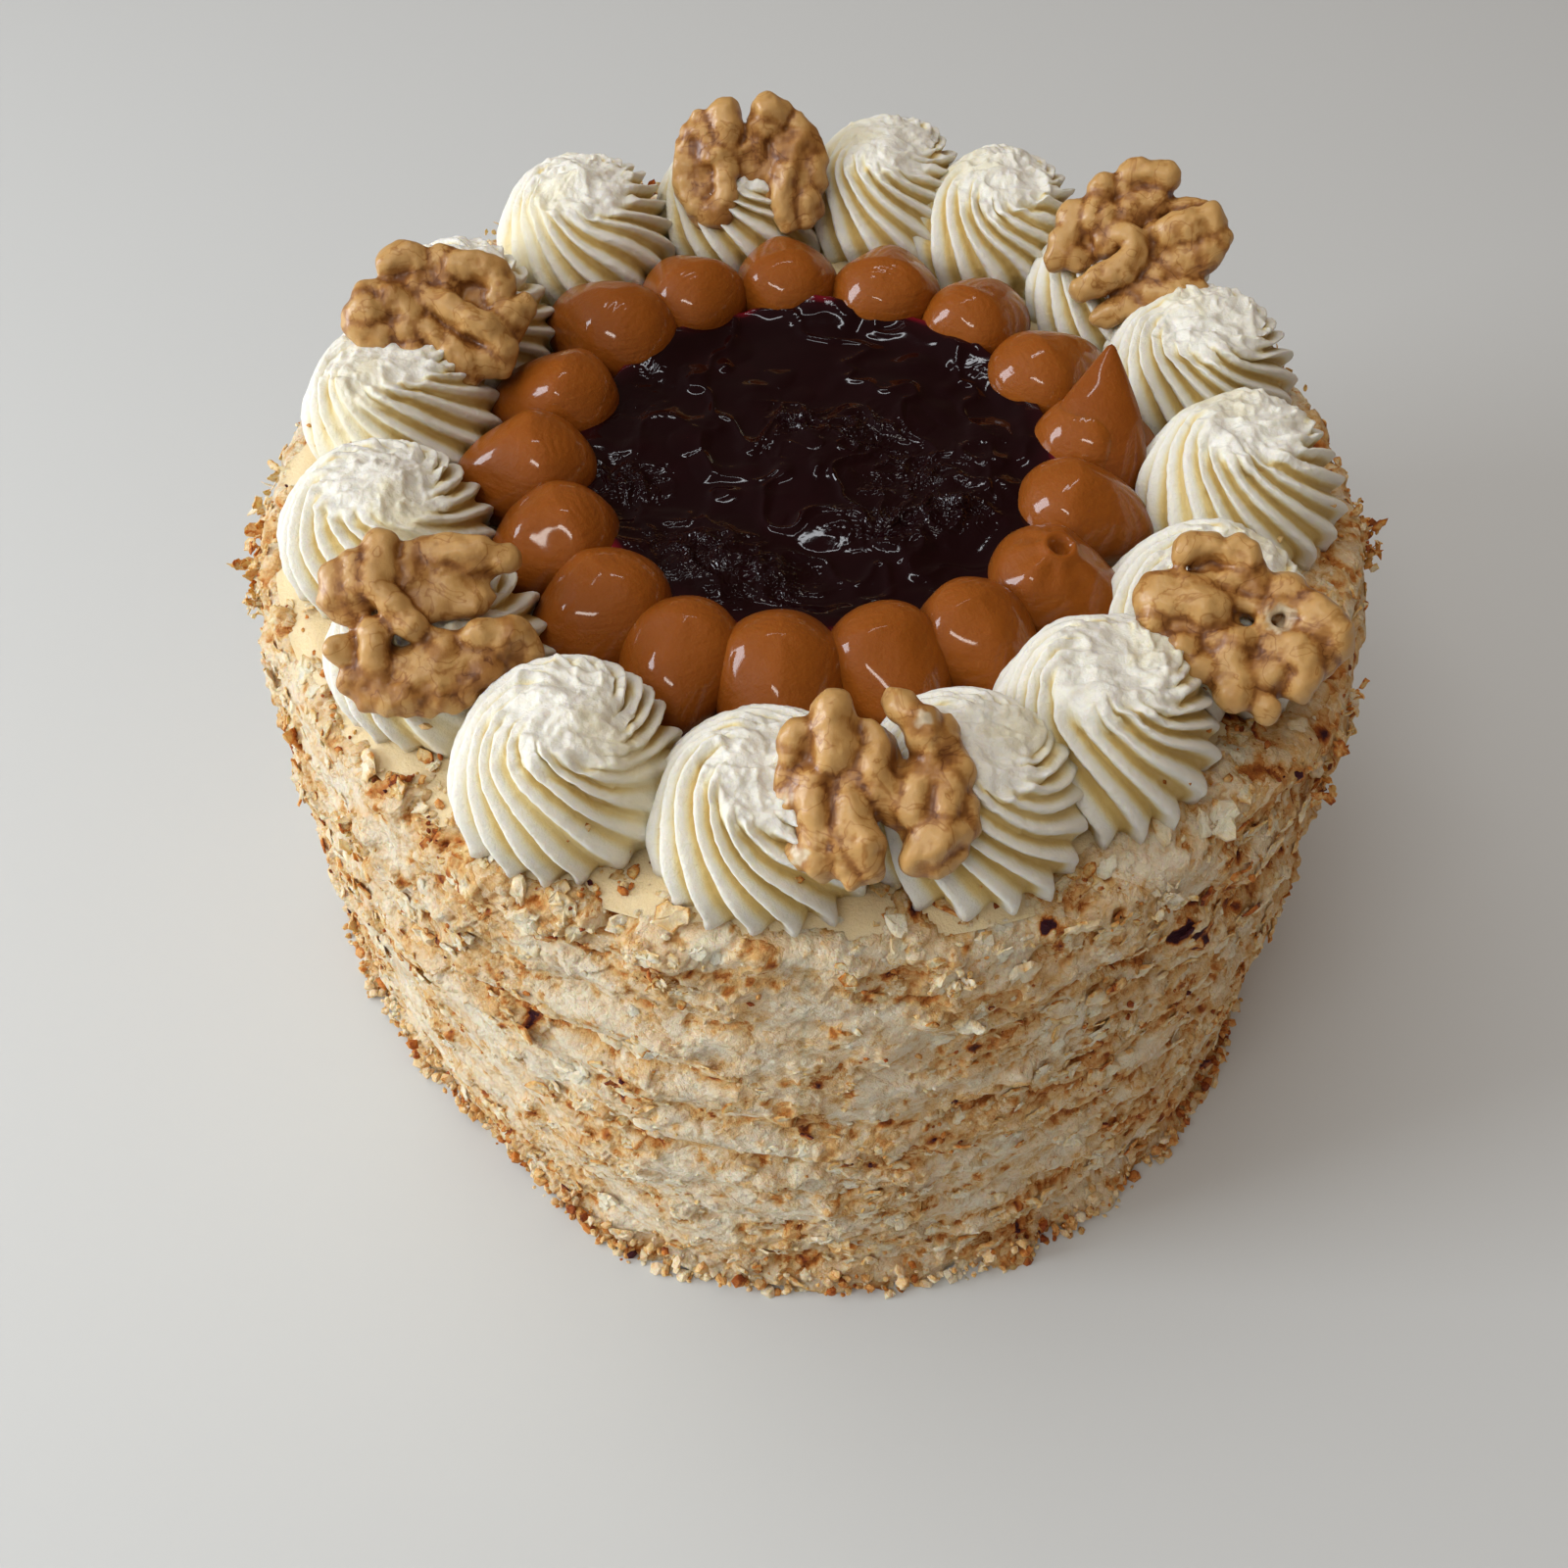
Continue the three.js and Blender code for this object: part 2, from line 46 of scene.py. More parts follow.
# The cake and its piping
CAKE_HEIGHT = 128.0
CAKE_RADIUS = 111.0
PIPING_CENTRE = np.array([0.0, -2.0])
PIPING_BASE = 128.3
FIRST_ROSETTE = 106.0
ROSETTE_NUDGES = [-4, -3, 2, 2, 5, 2.5, 0, -1.5, 2, 1.5, 1, -0.5, 0, -0.5, 2, -2]
ROSETTE_REACHES = [81, 83, 82.5, 82, 80.8, 78.8, 78.6, 79, 81.5, 82, 83, 79.8, 79.5, 79.5, 79.8, 82.8]
ROSETTE_HEIGHTS = [19, 21, 20, 19, 20, 22, 20, 23, 22, 21.5, 21.5, 19.5, 20.5, 20.5, 19.5, 20]
FIRST_BEAD = 118.0
BEAD_NUDGES = [1.6, 1.4, -0.4, -0.9, -3, -5, -3.5, -4.7, -5, -2.2, -1.5, 1.5, 3.5, 4, 4, 3.5, 0]
BEAD_REACHES = [54, 54, 53, 53.5, 52, 53, 50, 52, 52, 51.5, 53.5, 54, 53.5, 52, 53.5, 52, 55]
RIM_FLAKES = [
    (22, 9, 127), (75, 8, 128), (96, 7, 127), (113, 12, 129), (119, 8, 128), (131, 11, 128), (146, 10, 127),
    (158, 9, 126), (180, 11, 122), (187, 12, 120), (192, 9, 116), (222, 10, 114), (327, 12, 119),
    (333, 9, 122), (356, 10, 124), (2, 8, 121), (258, 7, 121), (283, 7, 122), (304, 8, 122),
]

# How near a piped dome's last ring comes to its crown, as a share of the way up
CROWN_SHARE = 0.985

# The camera that took in the cake
FOCAL_PIXELS = 1620.0
IMAGE_PIXELS = 1600.0
CAMERA_PLACE = (-4.4182, -225.9947, 338.5643)
CAMERA_PITCH = 0.9415
CAMERA_ROLL = 0.0259


def smooth_step(low, high, value):
    """0 below low, 1 above high, and between them 3t² − 2t³ of the share t of the way."""
    share = np.clip((value - low) / (high - low), 0, 1)
    return share * share * (3 - 2 * share)


def bell(value, middle, width):
    """A bell curve, 1 at the middle: e to the power −((value − middle) / width)²."""
    return np.exp(-(((value - middle) / width) ** 2))


def around_axis(distance, turn, height):
    """Points at a distance from the upright axis, a turn about it and a height: the distance times the
    cosine and the sine of the turn, and the height."""
    return np.stack(np.broadcast_arrays(distance * np.cos(turn), distance * np.sin(turn), height), -1)


def drawn(rng, count, low, span, power=1):
    """Drawn numbers from low to low + span: the higher the power, the more of them lie near low."""
    return low + span * rng.uniform(0, 1, count) ** power


def lattice(cells, seed):
    """A repeatable number from 0 to 1 for each whole-numbered cell: its places are multiplied by primes,
    added and mixed by shifts."""
    mixed = cells[..., 0] * 374761393 + cells[..., 1] * 668265263 + cells[..., 2] * 1440662683
    mixed = (mixed + seed * 1446647) & 0x7FFFFFFF
    mixed = ((mixed ^ (mixed >> 13)) * 1274126177) & 0x7FFFFFFF
    mixed = ((mixed ^ (mixed >> 15)) * 668265263) & 0x7FFFFFFF
    return ((mixed ^ (mixed >> 16)) & 0xFFFFF) / 0xFFFFF


def soft_noise(points, seed):
    """Smooth noise from -1 to 1: numbers at the corners of unit cells, blended by 3t² − 2t³ along each
    axis."""
    whole = np.floor(points).astype(np.int64)
    share = points - whole
    share = share * share * (3 - 2 * share)
    total = np.zeros(points.shape[:-1])
    for corner in np.ndindex(2, 2, 2):
        weight = np.prod(np.where(np.array(corner) == 1, share, 1 - share), axis=-1)
        total += weight * lattice(whole + np.array(corner), seed)
    return 2 * total - 1


def noise_vector(points, seed):
    """Three smooth noises as one vector."""
    return np.stack([soft_noise(points, seed + axis) for axis in range(3)], -1)


def grains(points, seed):
    """Points in a field that has one grain at a drawn place in every unit cell. Gives the distance to the
    nearest grain, its own number from 0 to 1 and the way from it."""
    whole = np.floor(points).astype(np.int64)
    nearest = np.full(points.shape[:-1], 9.0)
    number = np.zeros(points.shape[:-1])
    way = np.zeros(points.shape)
    for step in np.ndindex(3, 3, 3):
        cell = whole + np.array(step) - 1
        grain = cell + np.stack([lattice(cell, seed + axis) for axis in range(3)], -1)
        offset = points - grain
        distance = np.linalg.norm(offset, axis=-1)
        closer = distance < nearest
        number = np.where(closer, lattice(cell, seed + 3), number)
        way[closer] = offset[closer]
        nearest = np.minimum(nearest, distance)
    return nearest, number, way


def blurred(field, reach):
    """A field averaged over a few cells each way, along each of its axes in turn."""
    for axis in range(field.ndim):
        shifted = [np.roll(field, step, axis) for step in range(-reach, reach + 1)]
        field = sum(shifted) / len(shifted)
    return field


def polar(angle, distance, height):
    """The point at an angle in degrees and a distance from the middle of the piping."""
    return around_axis(distance, np.radians(angle), height) + np.array([*PIPING_CENTRE, 0])


def ring_angles(first, nudges):
    """Angles of a clockwise ring of pieces, each a little off the even pitch."""
    return [first - 360 / len(nudges) * place + nudge for place, nudge in enumerate(nudges)]


ROSETTE_ANGLES = ring_angles(FIRST_ROSETTE, ROSETTE_NUDGES)
BEAD_ANGLES = ring_angles(FIRST_BEAD, BEAD_NUDGES)


def smooth_path(points, steps):
    """A smooth curve through the points, all their numbers alike, with so many steps from each to the next.
    Between two of them it is a cubic, and its slope at a point is half the way between that one's
    neighbours."""
    points = np.array(points, float)
    if len(points) == 1:
        return np.repeat(points, 2, 0)
    padded = np.concatenate([[2 * points[0] - points[1]], points, [2 * points[-1] - points[-2]]])
    share = np.linspace(0, 1, steps, endpoint=False)[:, None]
    parts = []
    for a, b, c, d in zip(padded, padded[1:], padded[2:], padded[3:]):
        cubic = -a + 3 * b - 3 * c + d
        square = 2 * a - 5 * b + 4 * c - d
        parts.append(0.5 * (2 * b + (c - a) * share + square * share**2 + cubic * share**3))
    return np.concatenate([*parts, points[-1:]])


# Meshes


def new_piece(name, points, faces, material, values=None, smooth=True, normals=None):
    """A mesh object from points in millimetres and a list of face arrays, each with one row for a face.
    values holds a number for every point under each name. normals, where given, are the points' own."""
    mesh = bpy.data.meshes.new(name)
    mesh.vertices.add(len(points))
    mesh.vertices.foreach_set("co", (np.asarray(points) * MM).astype(np.float32).ravel())
    corners = np.concatenate([part.ravel() for part in faces]).astype(np.int32)
    sizes = np.concatenate([np.full(len(part), part.shape[1]) for part in faces])
    starts = np.concatenate([[0], np.cumsum(sizes)[:-1]]).astype(np.int32)
    mesh.loops.add(len(corners))
    mesh.loops.foreach_set("vertex_index", corners)
    mesh.polygons.add(len(sizes))
    mesh.polygons.foreach_set("loop_start", starts)
    mesh.polygons.foreach_set("use_smooth", np.full(len(sizes), smooth))
    mesh.update(calc_edges=True)
    mesh.validate()
    for key, numbers in (values or {}).items():
        attribute = mesh.attributes.new(key, "FLOAT", "POINT")
        attribute.data.foreach_set("value", np.asarray(numbers, np.float32).ravel())
    if normals is not None:
        mesh.normals_split_custom_set_from_vertices(normals)
    mesh.materials.append(material)
    piece = bpy.data.objects.new(name, mesh)
    bpy.context.scene.collection.objects.link(piece)
    return piece


def settle(piece, slot, *nodes):
    """The piece rides on the cake's one body and stands for CAD nodes, which it hides. The slot is not used.
    """
    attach(piece, "root")
    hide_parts(*nodes)
    return piece


def ring_faces(rows, columns):
    """Faces of a closed skin whose points are rows of rings from the bottom up, then a bottom point and a top
    point: quads between neighbouring rings, and a fan of triangles to each end point."""
    here = np.arange(columns)
    after = (here + 1) % columns
    base = np.arange(rows - 1)[:, None] * columns
    quads = np.stack([base + here, base + after, base + columns + after, base + columns + here], -1)
    bottom = np.full(columns, rows * columns)
    last = (rows - 1) * columns
    lower = np.stack([bottom, after, here], -1)
    upper = np.stack([bottom + 1, last + here, last + after], -1)
    return [quads.reshape(-1, 4), np.concatenate([lower, upper])]


def ring_grid(levels, columns):
    """The level and the turn of every point of a stack of rings."""
    return np.meshgrid(levels, np.linspace(0, 2 * np.pi, columns, endpoint=False), indexing="ij")


def with_ends(rings, bottom, top):
    """The points of rings from the bottom up, then a bottom point and a top point."""
    return np.concatenate([rings.reshape(-1, 3), [bottom, top]])


def ring_values(numbers, bottom=0.0, top=0.0):
    """The same for a number that each point of the rings has."""
    return np.concatenate([numbers.ravel(), [bottom, top]])


# Materials


def shader_node(tree, kind, inputs=None, **settings):
    """A node with its settings, and its sockets given numbers or linked from other sockets."""
    made = tree.nodes.new(kind)
    for key, value in settings.items():
        setattr(made, key, value)
    for key, value in (inputs or {}).items():
        if isinstance(value, bpy.types.NodeSocket):
            tree.links.new(value, made.inputs[key])
        else:
            made.inputs[key].default_value = value
    return made


def blank_material(name):
    """A material without nodes, and its tree."""
    material = bpy.data.materials.new(name)
    material.use_nodes = True
    material.node_tree.nodes.clear()
    return material, material.node_tree


def close_material(tree, colour, roughness, specular, normal=None, scatter=(), coat=()):
    """Ends a material with its Principled shader and the output. scatter is how light spreads under the
    surface: its weight, its radii for red, green and blue, and their scale in metres. coat is a clear skin's
    weight and roughness."""
    inputs = {"Base Color": colour, "Roughness": roughness, "Specular IOR Level": specular}
    inputs.update(zip(("Subsurface Weight", "Subsurface Radius", "Subsurface Scale"), scatter))
    inputs.update(zip(("Coat Weight", "Coat Roughness"), coat))
    if normal is not None:
        inputs["Normal"] = normal
    shader = shader_node(tree, "ShaderNodeBsdfPrincipled", inputs)
    shader_node(tree, "ShaderNodeOutputMaterial", {"Surface": shader.outputs["BSDF"]})


def colour_ramp(tree, factor, stops):
    """A ramp of (place, colour) stops."""
    made = shader_node(tree, "ShaderNodeValToRGB", {"Fac": factor})
    ramp = made.color_ramp
    while len(ramp.elements) < len(stops):
        ramp.elements.new(1)
    for element, (place, colour) in zip(ramp.elements, stops):
        element.position = place
        element.color = (*colour, 1)
    return made.outputs["Color"]


def blend_colours(tree, factor, first, second):
    """Mixes two colours, each a socket or four numbers."""
    inputs = {0: factor, 6: first, 7: second}
    return shader_node(tree, "ShaderNodeMix", inputs, data_type="RGBA").outputs[2]


def object_place(tree):
    """The object's own coordinates."""
    return shader_node(tree, "ShaderNodeTexCoord").outputs["Object"]


def object_noise(tree, scale, detail=2.0, roughness=0.5, distortion=0.0, output="Fac"):
    """Noise over the object's own coordinates, its scale in lumps per metre."""
    inputs = {"Vector": object_place(tree), "Scale": scale, "Detail": detail, "Roughness": roughness}
    inputs["Distortion"] = distortion
    return shader_node(tree, "ShaderNodeTexNoise", inputs).outputs[output]


def attribute(tree, name):
    """A number that the mesh holds for every point."""
    return shader_node(tree, "ShaderNodeAttribute", attribute_name=name).outputs["Fac"]


def maths(tree, operation, first, second=0.0):
    """One arithmetic node."""
    return shader_node(tree, "ShaderNodeMath", {0: first, 1: second}, operation=operation).outputs[0]


def vector_maths(tree, operation, first, second, output="Vector"):
    """One arithmetic node for vectors."""
    made = shader_node(tree, "ShaderNodeVectorMath", {0: first, 1: second}, operation=operation)
    return made.outputs[output]


def plus(tree, value, other, amount):
    """A value plus so much of another one."""
    return maths(tree, "ADD", value, maths(tree, "MULTIPLY", other, amount))


def strayed(tree, value, noise, amount, centre=0.5):
    """A value moved by so much of what a noise is over its centre."""
    return plus(tree, value, maths(tree, "SUBTRACT", noise, centre), amount)


def relief(tree, height, distance, strength=1.0):
    """A bump from a height, distance in metres."""
    inputs = {"Height": height, "Distance": distance, "Strength": strength}
    return shader_node(tree, "ShaderNodeBump", inputs).outputs["Normal"]


def cream_material():
    """Whipped cream: off-white on the crests, and painted shade darker and butter yellow down in the flutes,
    vanilla at the value 1 where it is smooth, finely pitted."""
    material, tree = blank_material("whipped_cream")
    # Painted shade: the deeper in the flutes, the darker and yellower the cream; the value 1 is the smooth
    # vanilla cream's own colour.
    shade = strayed(tree, attribute(tree, "flute_shade_and_vanilla"), object_noise(tree, 160.0, 3.0), 0.2)
    colour = colour_ramp(tree, shade, [
        (0.05, (0.79, 0.785, 0.725)),
        (0.3, (0.77, 0.73, 0.55)),
        (0.55, (0.73, 0.60, 0.30)),
        (0.8, (0.62, 0.44, 0.15)),
        (1.0, (0.80, 0.66, 0.41)),
    ])
    pits = relief(tree, object_noise(tree, 1500.0, 4.0, 0.7), 0.0004, 0.8)
    close_material(tree, colour, 0.5, 0.35, pits, (0.4, (1.0, 0.8, 0.45), 0.0015))
    return material


def dulce_material():
    """Dulce de leche: a glossy caramel with painted shade, darker towards the foot of each bead, its skin
    marked by fine level streaks."""
    material, tree = blank_material("dulce_de_leche")
    # Painted shade: the low value darkens the caramel towards the foot of each bead.
    shade = strayed(tree, attribute(tree, "low"), object_noise(tree, 90.0, 2.0), 0.5)
    colour = colour_ramp(tree, shade, [
        (0.0, (0.275, 0.076, 0.008)),
        (0.5, (0.20, 0.048, 0.005)),
        (1.0, (0.085, 0.016, 0.002)),
    ])
    inputs = {"Vector": object_place(tree), "Scale": (60.0, 60.0, 900.0)}
    level = shader_node(tree, "ShaderNodeMapping", inputs).outputs["Vector"]
    inputs = {"Vector": level, "Scale": 1.0, "Detail": 3.0}
    streaks = shader_node(tree, "ShaderNodeTexNoise", inputs).outputs["Fac"]
    skin = relief(tree, plus(tree, object_noise(tree, 330.0, 5.0, 0.7), streaks, 0.5), 0.0006, 0.75)
    close_material(tree, colour, 0.4, 0.1, skin, (0.15, (1.0, 0.35, 0.1), 0.002), (0.65, 0.08))
    return material


def jam_material():
    """Dark fruit jam: nearly black, purple red where it is thin, and wet."""
    material, tree = blank_material("fruit_jam")
    shade = strayed(tree, attribute(tree, "thin"), object_noise(tree, 130.0, 4.0), 0.5)
    colour = colour_ramp(tree, shade, [
        (0.0, (0.008, 0.001, 0.002)),
        (0.5, (0.018, 0.002, 0.004)),
        (0.8, (0.16, 0.005, 0.014)),
        (1.0, (0.34, 0.008, 0.02)),
    ])
    folds = maths(tree, "ABSOLUTE", maths(tree, "SUBTRACT", object_noise(tree, 300.0, 1.5, 0.5, 1.5), 0.5))
    wrinkles = maths(tree, "MULTIPLY", maths(tree, "MULTIPLY", folds, attribute(tree, "busy")), -3.4)
    gel = relief(tree, plus(tree, wrinkles, object_noise(tree, 200.0, 1.5), 0.2), 0.0008, 0.8)
    close_material(tree, colour, 0.07, 0.4, gel)
    return material


def ragged_flakes(group, scale):
    """Flakes of a noisy cell pattern, scale of them to the metre: each has its own number from 0 to 1, and
    its own height in millimetres, tilted its own way. Also a thin line, 1 on the flakes' edges."""
    half = (0.5, 0.5, 0.5)
    pull = 1.3 / scale
    noise = object_noise(group, 1.7 * scale, 5.0, 0.7, output="Color")
    fray = vector_maths(group, "MULTIPLY", vector_maths(group, "SUBTRACT", noise, half), (pull, pull, pull))
    torn = vector_maths(group, "ADD", object_place(group), fray)
    inputs = {"Vector": torn, "Scale": scale}
    cells = shader_node(group, "ShaderNodeTexVoronoi", inputs).outputs
    edges = shader_node(group, "ShaderNodeTexVoronoi", inputs, feature="DISTANCE_TO_EDGE").outputs["Distance"]
    rim = maths(group, "MINIMUM", maths(group, "MULTIPLY", edges, 9.0), 1.0)
    number = shader_node(group, "ShaderNodeSeparateColor", {"Color": cells["Color"]}).outputs["Red"]
    offset = vector_maths(group, "SUBTRACT", torn, cells["Position"])
    slant = vector_maths(group, "SUBTRACT", cells["Color"], half)
    tilt = vector_maths(group, "DOT_PRODUCT", offset, slant, "Value")
    height = plus(group, maths(group, "MULTIPLY", tilt, 600.0), number, 140.0 / scale)
    return number, height, maths(group, "SUBTRACT", 1.0, rim)


def torn_layers(group, scale):
    """Pastry leaves torn off at different depths: the steps of a frayed noise, scale of its lumps to the
    metre. Gives each leaf's own number from 0 to 1, the height in millimetres and a thin line, 1 along the
    tears."""
    level = maths(group, "MULTIPLY", object_noise(group, scale, 5.0, 0.6, 0.4), 8.0)
    leaf = maths(group, "FLOOR", level)
    white = shader_node(group, "ShaderNodeTexWhiteNoise", {"W": leaf}, noise_dimensions="1D")
    riser = maths(group, "MINIMUM", maths(group, "MULTIPLY", maths(group, "FRACT", level), 2.5), 1.0)
    height = maths(group, "MULTIPLY", maths(group, "ADD", leaf, riser), 0.35)
    return white.outputs["Value"], height, maths(group, "SUBTRACT", 1.0, riser)


def pastry_group():
    """The pastry's looks as a group: Tone runs from cream white (0) to scorched (1), and noise and the
    leaves' and flakes' own numbers move it about. Height, in millimetres, is that of torn leaves, flakes and
    grit."""
    group = bpy.data.node_groups.new("pastry", "ShaderNodeTree")
    for name, side, kind in (
        ("Tone", "INPUT", "Float"), ("Color", "OUTPUT", "Color"), ("Height", "OUTPUT", "Float"),
    ):
        group.interface.new_socket(name, in_out=side, socket_type=f"NodeSocket{kind}")
    fine = object_noise(group, 900.0, 5.0, 0.7, 0.6)
    middle = object_noise(group, 260.0, 3.0, 0.6)
    broad = object_noise(group, 60.0, 2.0)
    layers, layer_height, layer_edge = torn_layers(group, 100.0)
    flakes, flake_height, flake_rim = ragged_flakes(group, 260.0)
    tone = group.nodes.new("NodeGroupInput").outputs["Tone"]
    for value, centre, amount in (
        (fine, 0.5, 0.3), (middle, 0.5, 0.4), (broad, 0.5, 0.5),
        (layers, 0.5, -0.16), (flakes, 0.5, -0.16), (layer_edge, 0.1, 0.06), (flake_rim, 0.15, 0.06),
    ):
        tone = strayed(group, tone, value, amount, centre)
    colour = colour_ramp(group, tone, [
        (0.0, (0.86, 0.76, 0.58)),
        (0.22, (0.83, 0.65, 0.42)),
        (0.42, (0.74, 0.46, 0.185)),
        (0.6, (0.57, 0.21, 0.042)),
        (0.8, (0.29, 0.065, 0.014)),
        (0.93, (0.12, 0.03, 0.012)),
        (1.0, (0.05, 0.010, 0.018)),
    ])
    height = plus(group, plus(group, layer_height, flake_height, 0.7), fine, 0.9)
    shader_node(group, "NodeGroupOutput", {"Color": colour, "Height": height})
    return group


PASTRY = pastry_group()


def pastry_material(name, pit_depth):
    """Crushed pastry: matt, pitted, coloured by each point's own tone."""
    material, tree = blank_material(name)
    looks = shader_node(tree, "ShaderNodeGroup", node_tree=PASTRY)
    tree.links.new(attribute(tree, "tone"), looks.inputs["Tone"])
    pits = relief(tree, looks.outputs["Height"], pit_depth)
    close_material(tree, looks.outputs["Color"], 0.75, 0.25, pits, (0.35, (1.0, 0.55, 0.22), 0.002))
    return material


def walnut_material():
    """Walnut skin: golden brown with a soft gloss, darker in thin veins, with painted shade in the creases
    and low down, pale where it is broken to the flesh."""
    material, tree = blank_material("walnut_skin")
    # Painted shade: the higher this value, the darker the skin in the creases.
    shade = strayed(tree, attribute(tree, "crease_shade"), object_noise(tree, 190.0, 3.0, 0.55), 0.7)
    winding = maths(tree, "SUBTRACT", object_noise(tree, 150.0, 3.0, 0.5, 0.7), 0.5)
    off_vein = maths(tree, "MINIMUM", maths(tree, "MULTIPLY", maths(tree, "ABSOLUTE", winding), 45.0), 1.0)
    shade = plus(tree, shade, maths(tree, "SUBTRACT", 1.0, off_vein), 0.35)
    skin = colour_ramp(tree, shade, [
        (0.0, (0.51, 0.30, 0.105)),
        (0.3, (0.39, 0.19, 0.05)),
        (0.65, (0.26, 0.105, 0.023)),
        (1.0, (0.14, 0.045, 0.008)),
    ])
    colour = blend_colours(tree, attribute(tree, "pale"), skin, (0.62, 0.52, 0.36, 1))
    grain = relief(tree, object_noise(tree, 700.0, 4.0, 0.6), 0.0003, 0.5)
    close_material(tree, colour, 0.36, 0.5, grain, (0.12, (1.0, 0.5, 0.2), 0.0015))
    return material


cream = cream_material()
dulce = dulce_material()
jam = jam_material()
coat = pastry_material("pastry_coat", 0.001)
crumbs = pastry_material("pastry_crumbs", 0.0005)
walnut_skin = walnut_material()


# The side of the cake

CORNER_RADIUS = 6.0
SIDE_LENGTH = CAKE_HEIGHT - CORNER_RADIUS
CORNER_LENGTH = CORNER_RADIUS * np.pi / 2
RIM_WIDTH = 7.0
PROFILE_LENGTH = SIDE_LENGTH + CORNER_LENGTH + RIM_WIDTH
COAT_LOWEST = np.array([-118.6, -116.5, 0.0])
COAT_HIGHEST = np.array([117.9, 118.0, 140.0])

# The coat's own pitches: its plates, chips and crumbs, and the layers of the cake under it
PLATE_PITCH = 9.5
CHIP_PITCH = 4.0
CRUMB_PITCH = 1.9
LAYER_PITCH = 15.5


def coat_radius(turn, height):
    """The cake's radius without its crumbs: a slight taper to the top, the flattened front left of the foot,
    a spread at the front right, and lumps of two sizes."""
    share = height / CAKE_HEIGHT
    taper = -0.4 - 4 * share**1.5 - 3 * share**16
    flattened = 7 * bell(turn, np.radians(228), 0.4) * (1 - share)
    spread = 2.5 * bell(turn, np.radians(305), 0.5) * (1 - share) ** 2
    around = around_axis(3.2, turn, height / 14)
    even = CAKE_RADIUS + taper - flattened + spread
    return even + 1.4 * soft_noise(around, 3) + soft_noise(2.6 * around, 5)


def smooth_rim(turn):
    """How much of the smooth cream shows inside the rim: 1 at the front left, 0 at the right and the back."""
    return smooth_step(0.2, 0.8, np.cos(turn - np.radians(225)))


def profile(turn, along):
    """A point of the bare cake and the way out of it, at a turn and a distance along its profile: straight up
    the side, round the corner and in over the rim."""
    corner = np.clip((along - SIDE_LENGTH) / CORNER_RADIUS, 0, np.pi / 2)
    rim = np.clip(along - SIDE_LENGTH - CORNER_LENGTH, 0, None)
    height = np.clip(along, 0, SIDE_LENGTH) + CORNER_RADIUS * np.sin(corner)
    radius = coat_radius(turn, height) - CORNER_RADIUS * (1 - np.cos(corner)) - rim
    return around_axis(radius, turn, height), around_axis(np.cos(corner), turn, np.sin(corner))


def bareness(points):
    """Where the cream shows through the crumbs, from 0 to 1: patches of broad noise, most at the front
    left."""
    patch = soft_noise(points / 17, 21) + 0.5 * soft_noise(points / 7, 22)
    turn = np.arctan2(points[..., 1], points[..., 0])
    front_left = bell(turn, np.radians(-110), 0.5) * bell(points[..., 2], 45, 30)
    return smooth_step(0.2, 0.7, patch + 0.45 * front_left)


# Where jam has run into the crumbs, and how far
JAM_STAINS = [((37, -98, 125), 2.6), ((67, -82, 102), 4.0), ((64, -85, 106), 3.0), ((30, -101, 60), 1.5)]


def crumb_relief(points):
    """How far the crumbs press out of the bare cake: flat plates with ragged edges, which are steps of a
    noise at three scales, on cells that each have their own height and tilt, with crumbs and grit on them and
    ledges where the layers press out. Also each point's tone, browner along the plates' edges and, as painted
    shade, towards the right of the cake."""
    warp = noise_vector(points / 3.1, 31)
    stretched = points * np.array([1, 1, 1.35]) + 1.3 * warp
    _, plate, plate_way = grains(stretched / PLATE_PITCH, 41)
    _, chip, chip_way = grains(stretched / CHIP_PITCH, 51)
    distance, crumb, _ = grains((points + 0.5 * warp) / CRUMB_PITCH, 61)
    bare = bareness(points)
    flow = soft_noise(stretched / 7.5, 62) + 0.5 * soft_noise(stretched / 3.4, 63)
    level = 1.7 * (flow + 0.28 * soft_noise(points / 1.6, 64)) + 1.2 * plate
    share = level - np.floor(level)
    plates = 0.8 * (np.floor(level) + smooth_step(0, 0.3, share))
    edges = smooth_step(0.42, 0.22, share) * smooth_step(-0.05, 0.06, share)
    shingle = 1.2 * plate_way[..., 2] * (plate - 0.3)
    small = 0.4 * chip + 0.6 * chip_way[..., 2] * (chip - 0.4)
    grit = 0.2 * np.clip(1 - 1.3 * distance, 0, 1) * (0.4 + crumb)
    layer = points[..., 2] + 3.0 * soft_noise(points / 45, 71)
    pressed = smooth_step(-0.4, 0.5, soft_noise(points / 30, 72))
    ledge = 1.3 * np.sin(2 * np.pi * layer / LAYER_PITCH) * pressed
    rise = (plates + shingle + small + grit) * (1 - 0.6 * bare) + ledge - 1.4
    patches = 0.5 + 0.5 * soft_noise(points / 8, 81)
    tone = 0.06 + 0.20 * patches + 0.08 * chip + 0.10 * plate + 0.09 * edges
    scorched = smooth_step(0.90, 0.96, crumb) * np.clip(1 - distance, 0, 1)
    tone = tone + 0.75 * scorched * (0.3 + 0.7 * patches)
    # Painted shade: the coat is browner towards the right of the cake.
    right = bell(np.arctan2(points[..., 1], points[..., 0]), -0.3, 0.7)
    tone = tone - 0.2 * bare + 0.09 * right
    for place, reach in JAM_STAINS:
        away = np.linalg.norm(points - np.array(place), axis=-1) + 1.5 * soft_noise(points / 1.5, 96)
        tone = tone + 1.2 * smooth_step(reach, 0.5 * reach, away)
    return rise, tone


def within_solids(points):
    """The points kept inside the box of the cake's solids."""
    return np.clip(points, COAT_LOWEST, COAT_HIGHEST)


COAT_ROWS = 196
COAT_COLUMNS = 352
CREVICE_REACH = 5
WEDGE_TOP = CAKE_HEIGHT - 2
INSIDE_TONE = 0.2


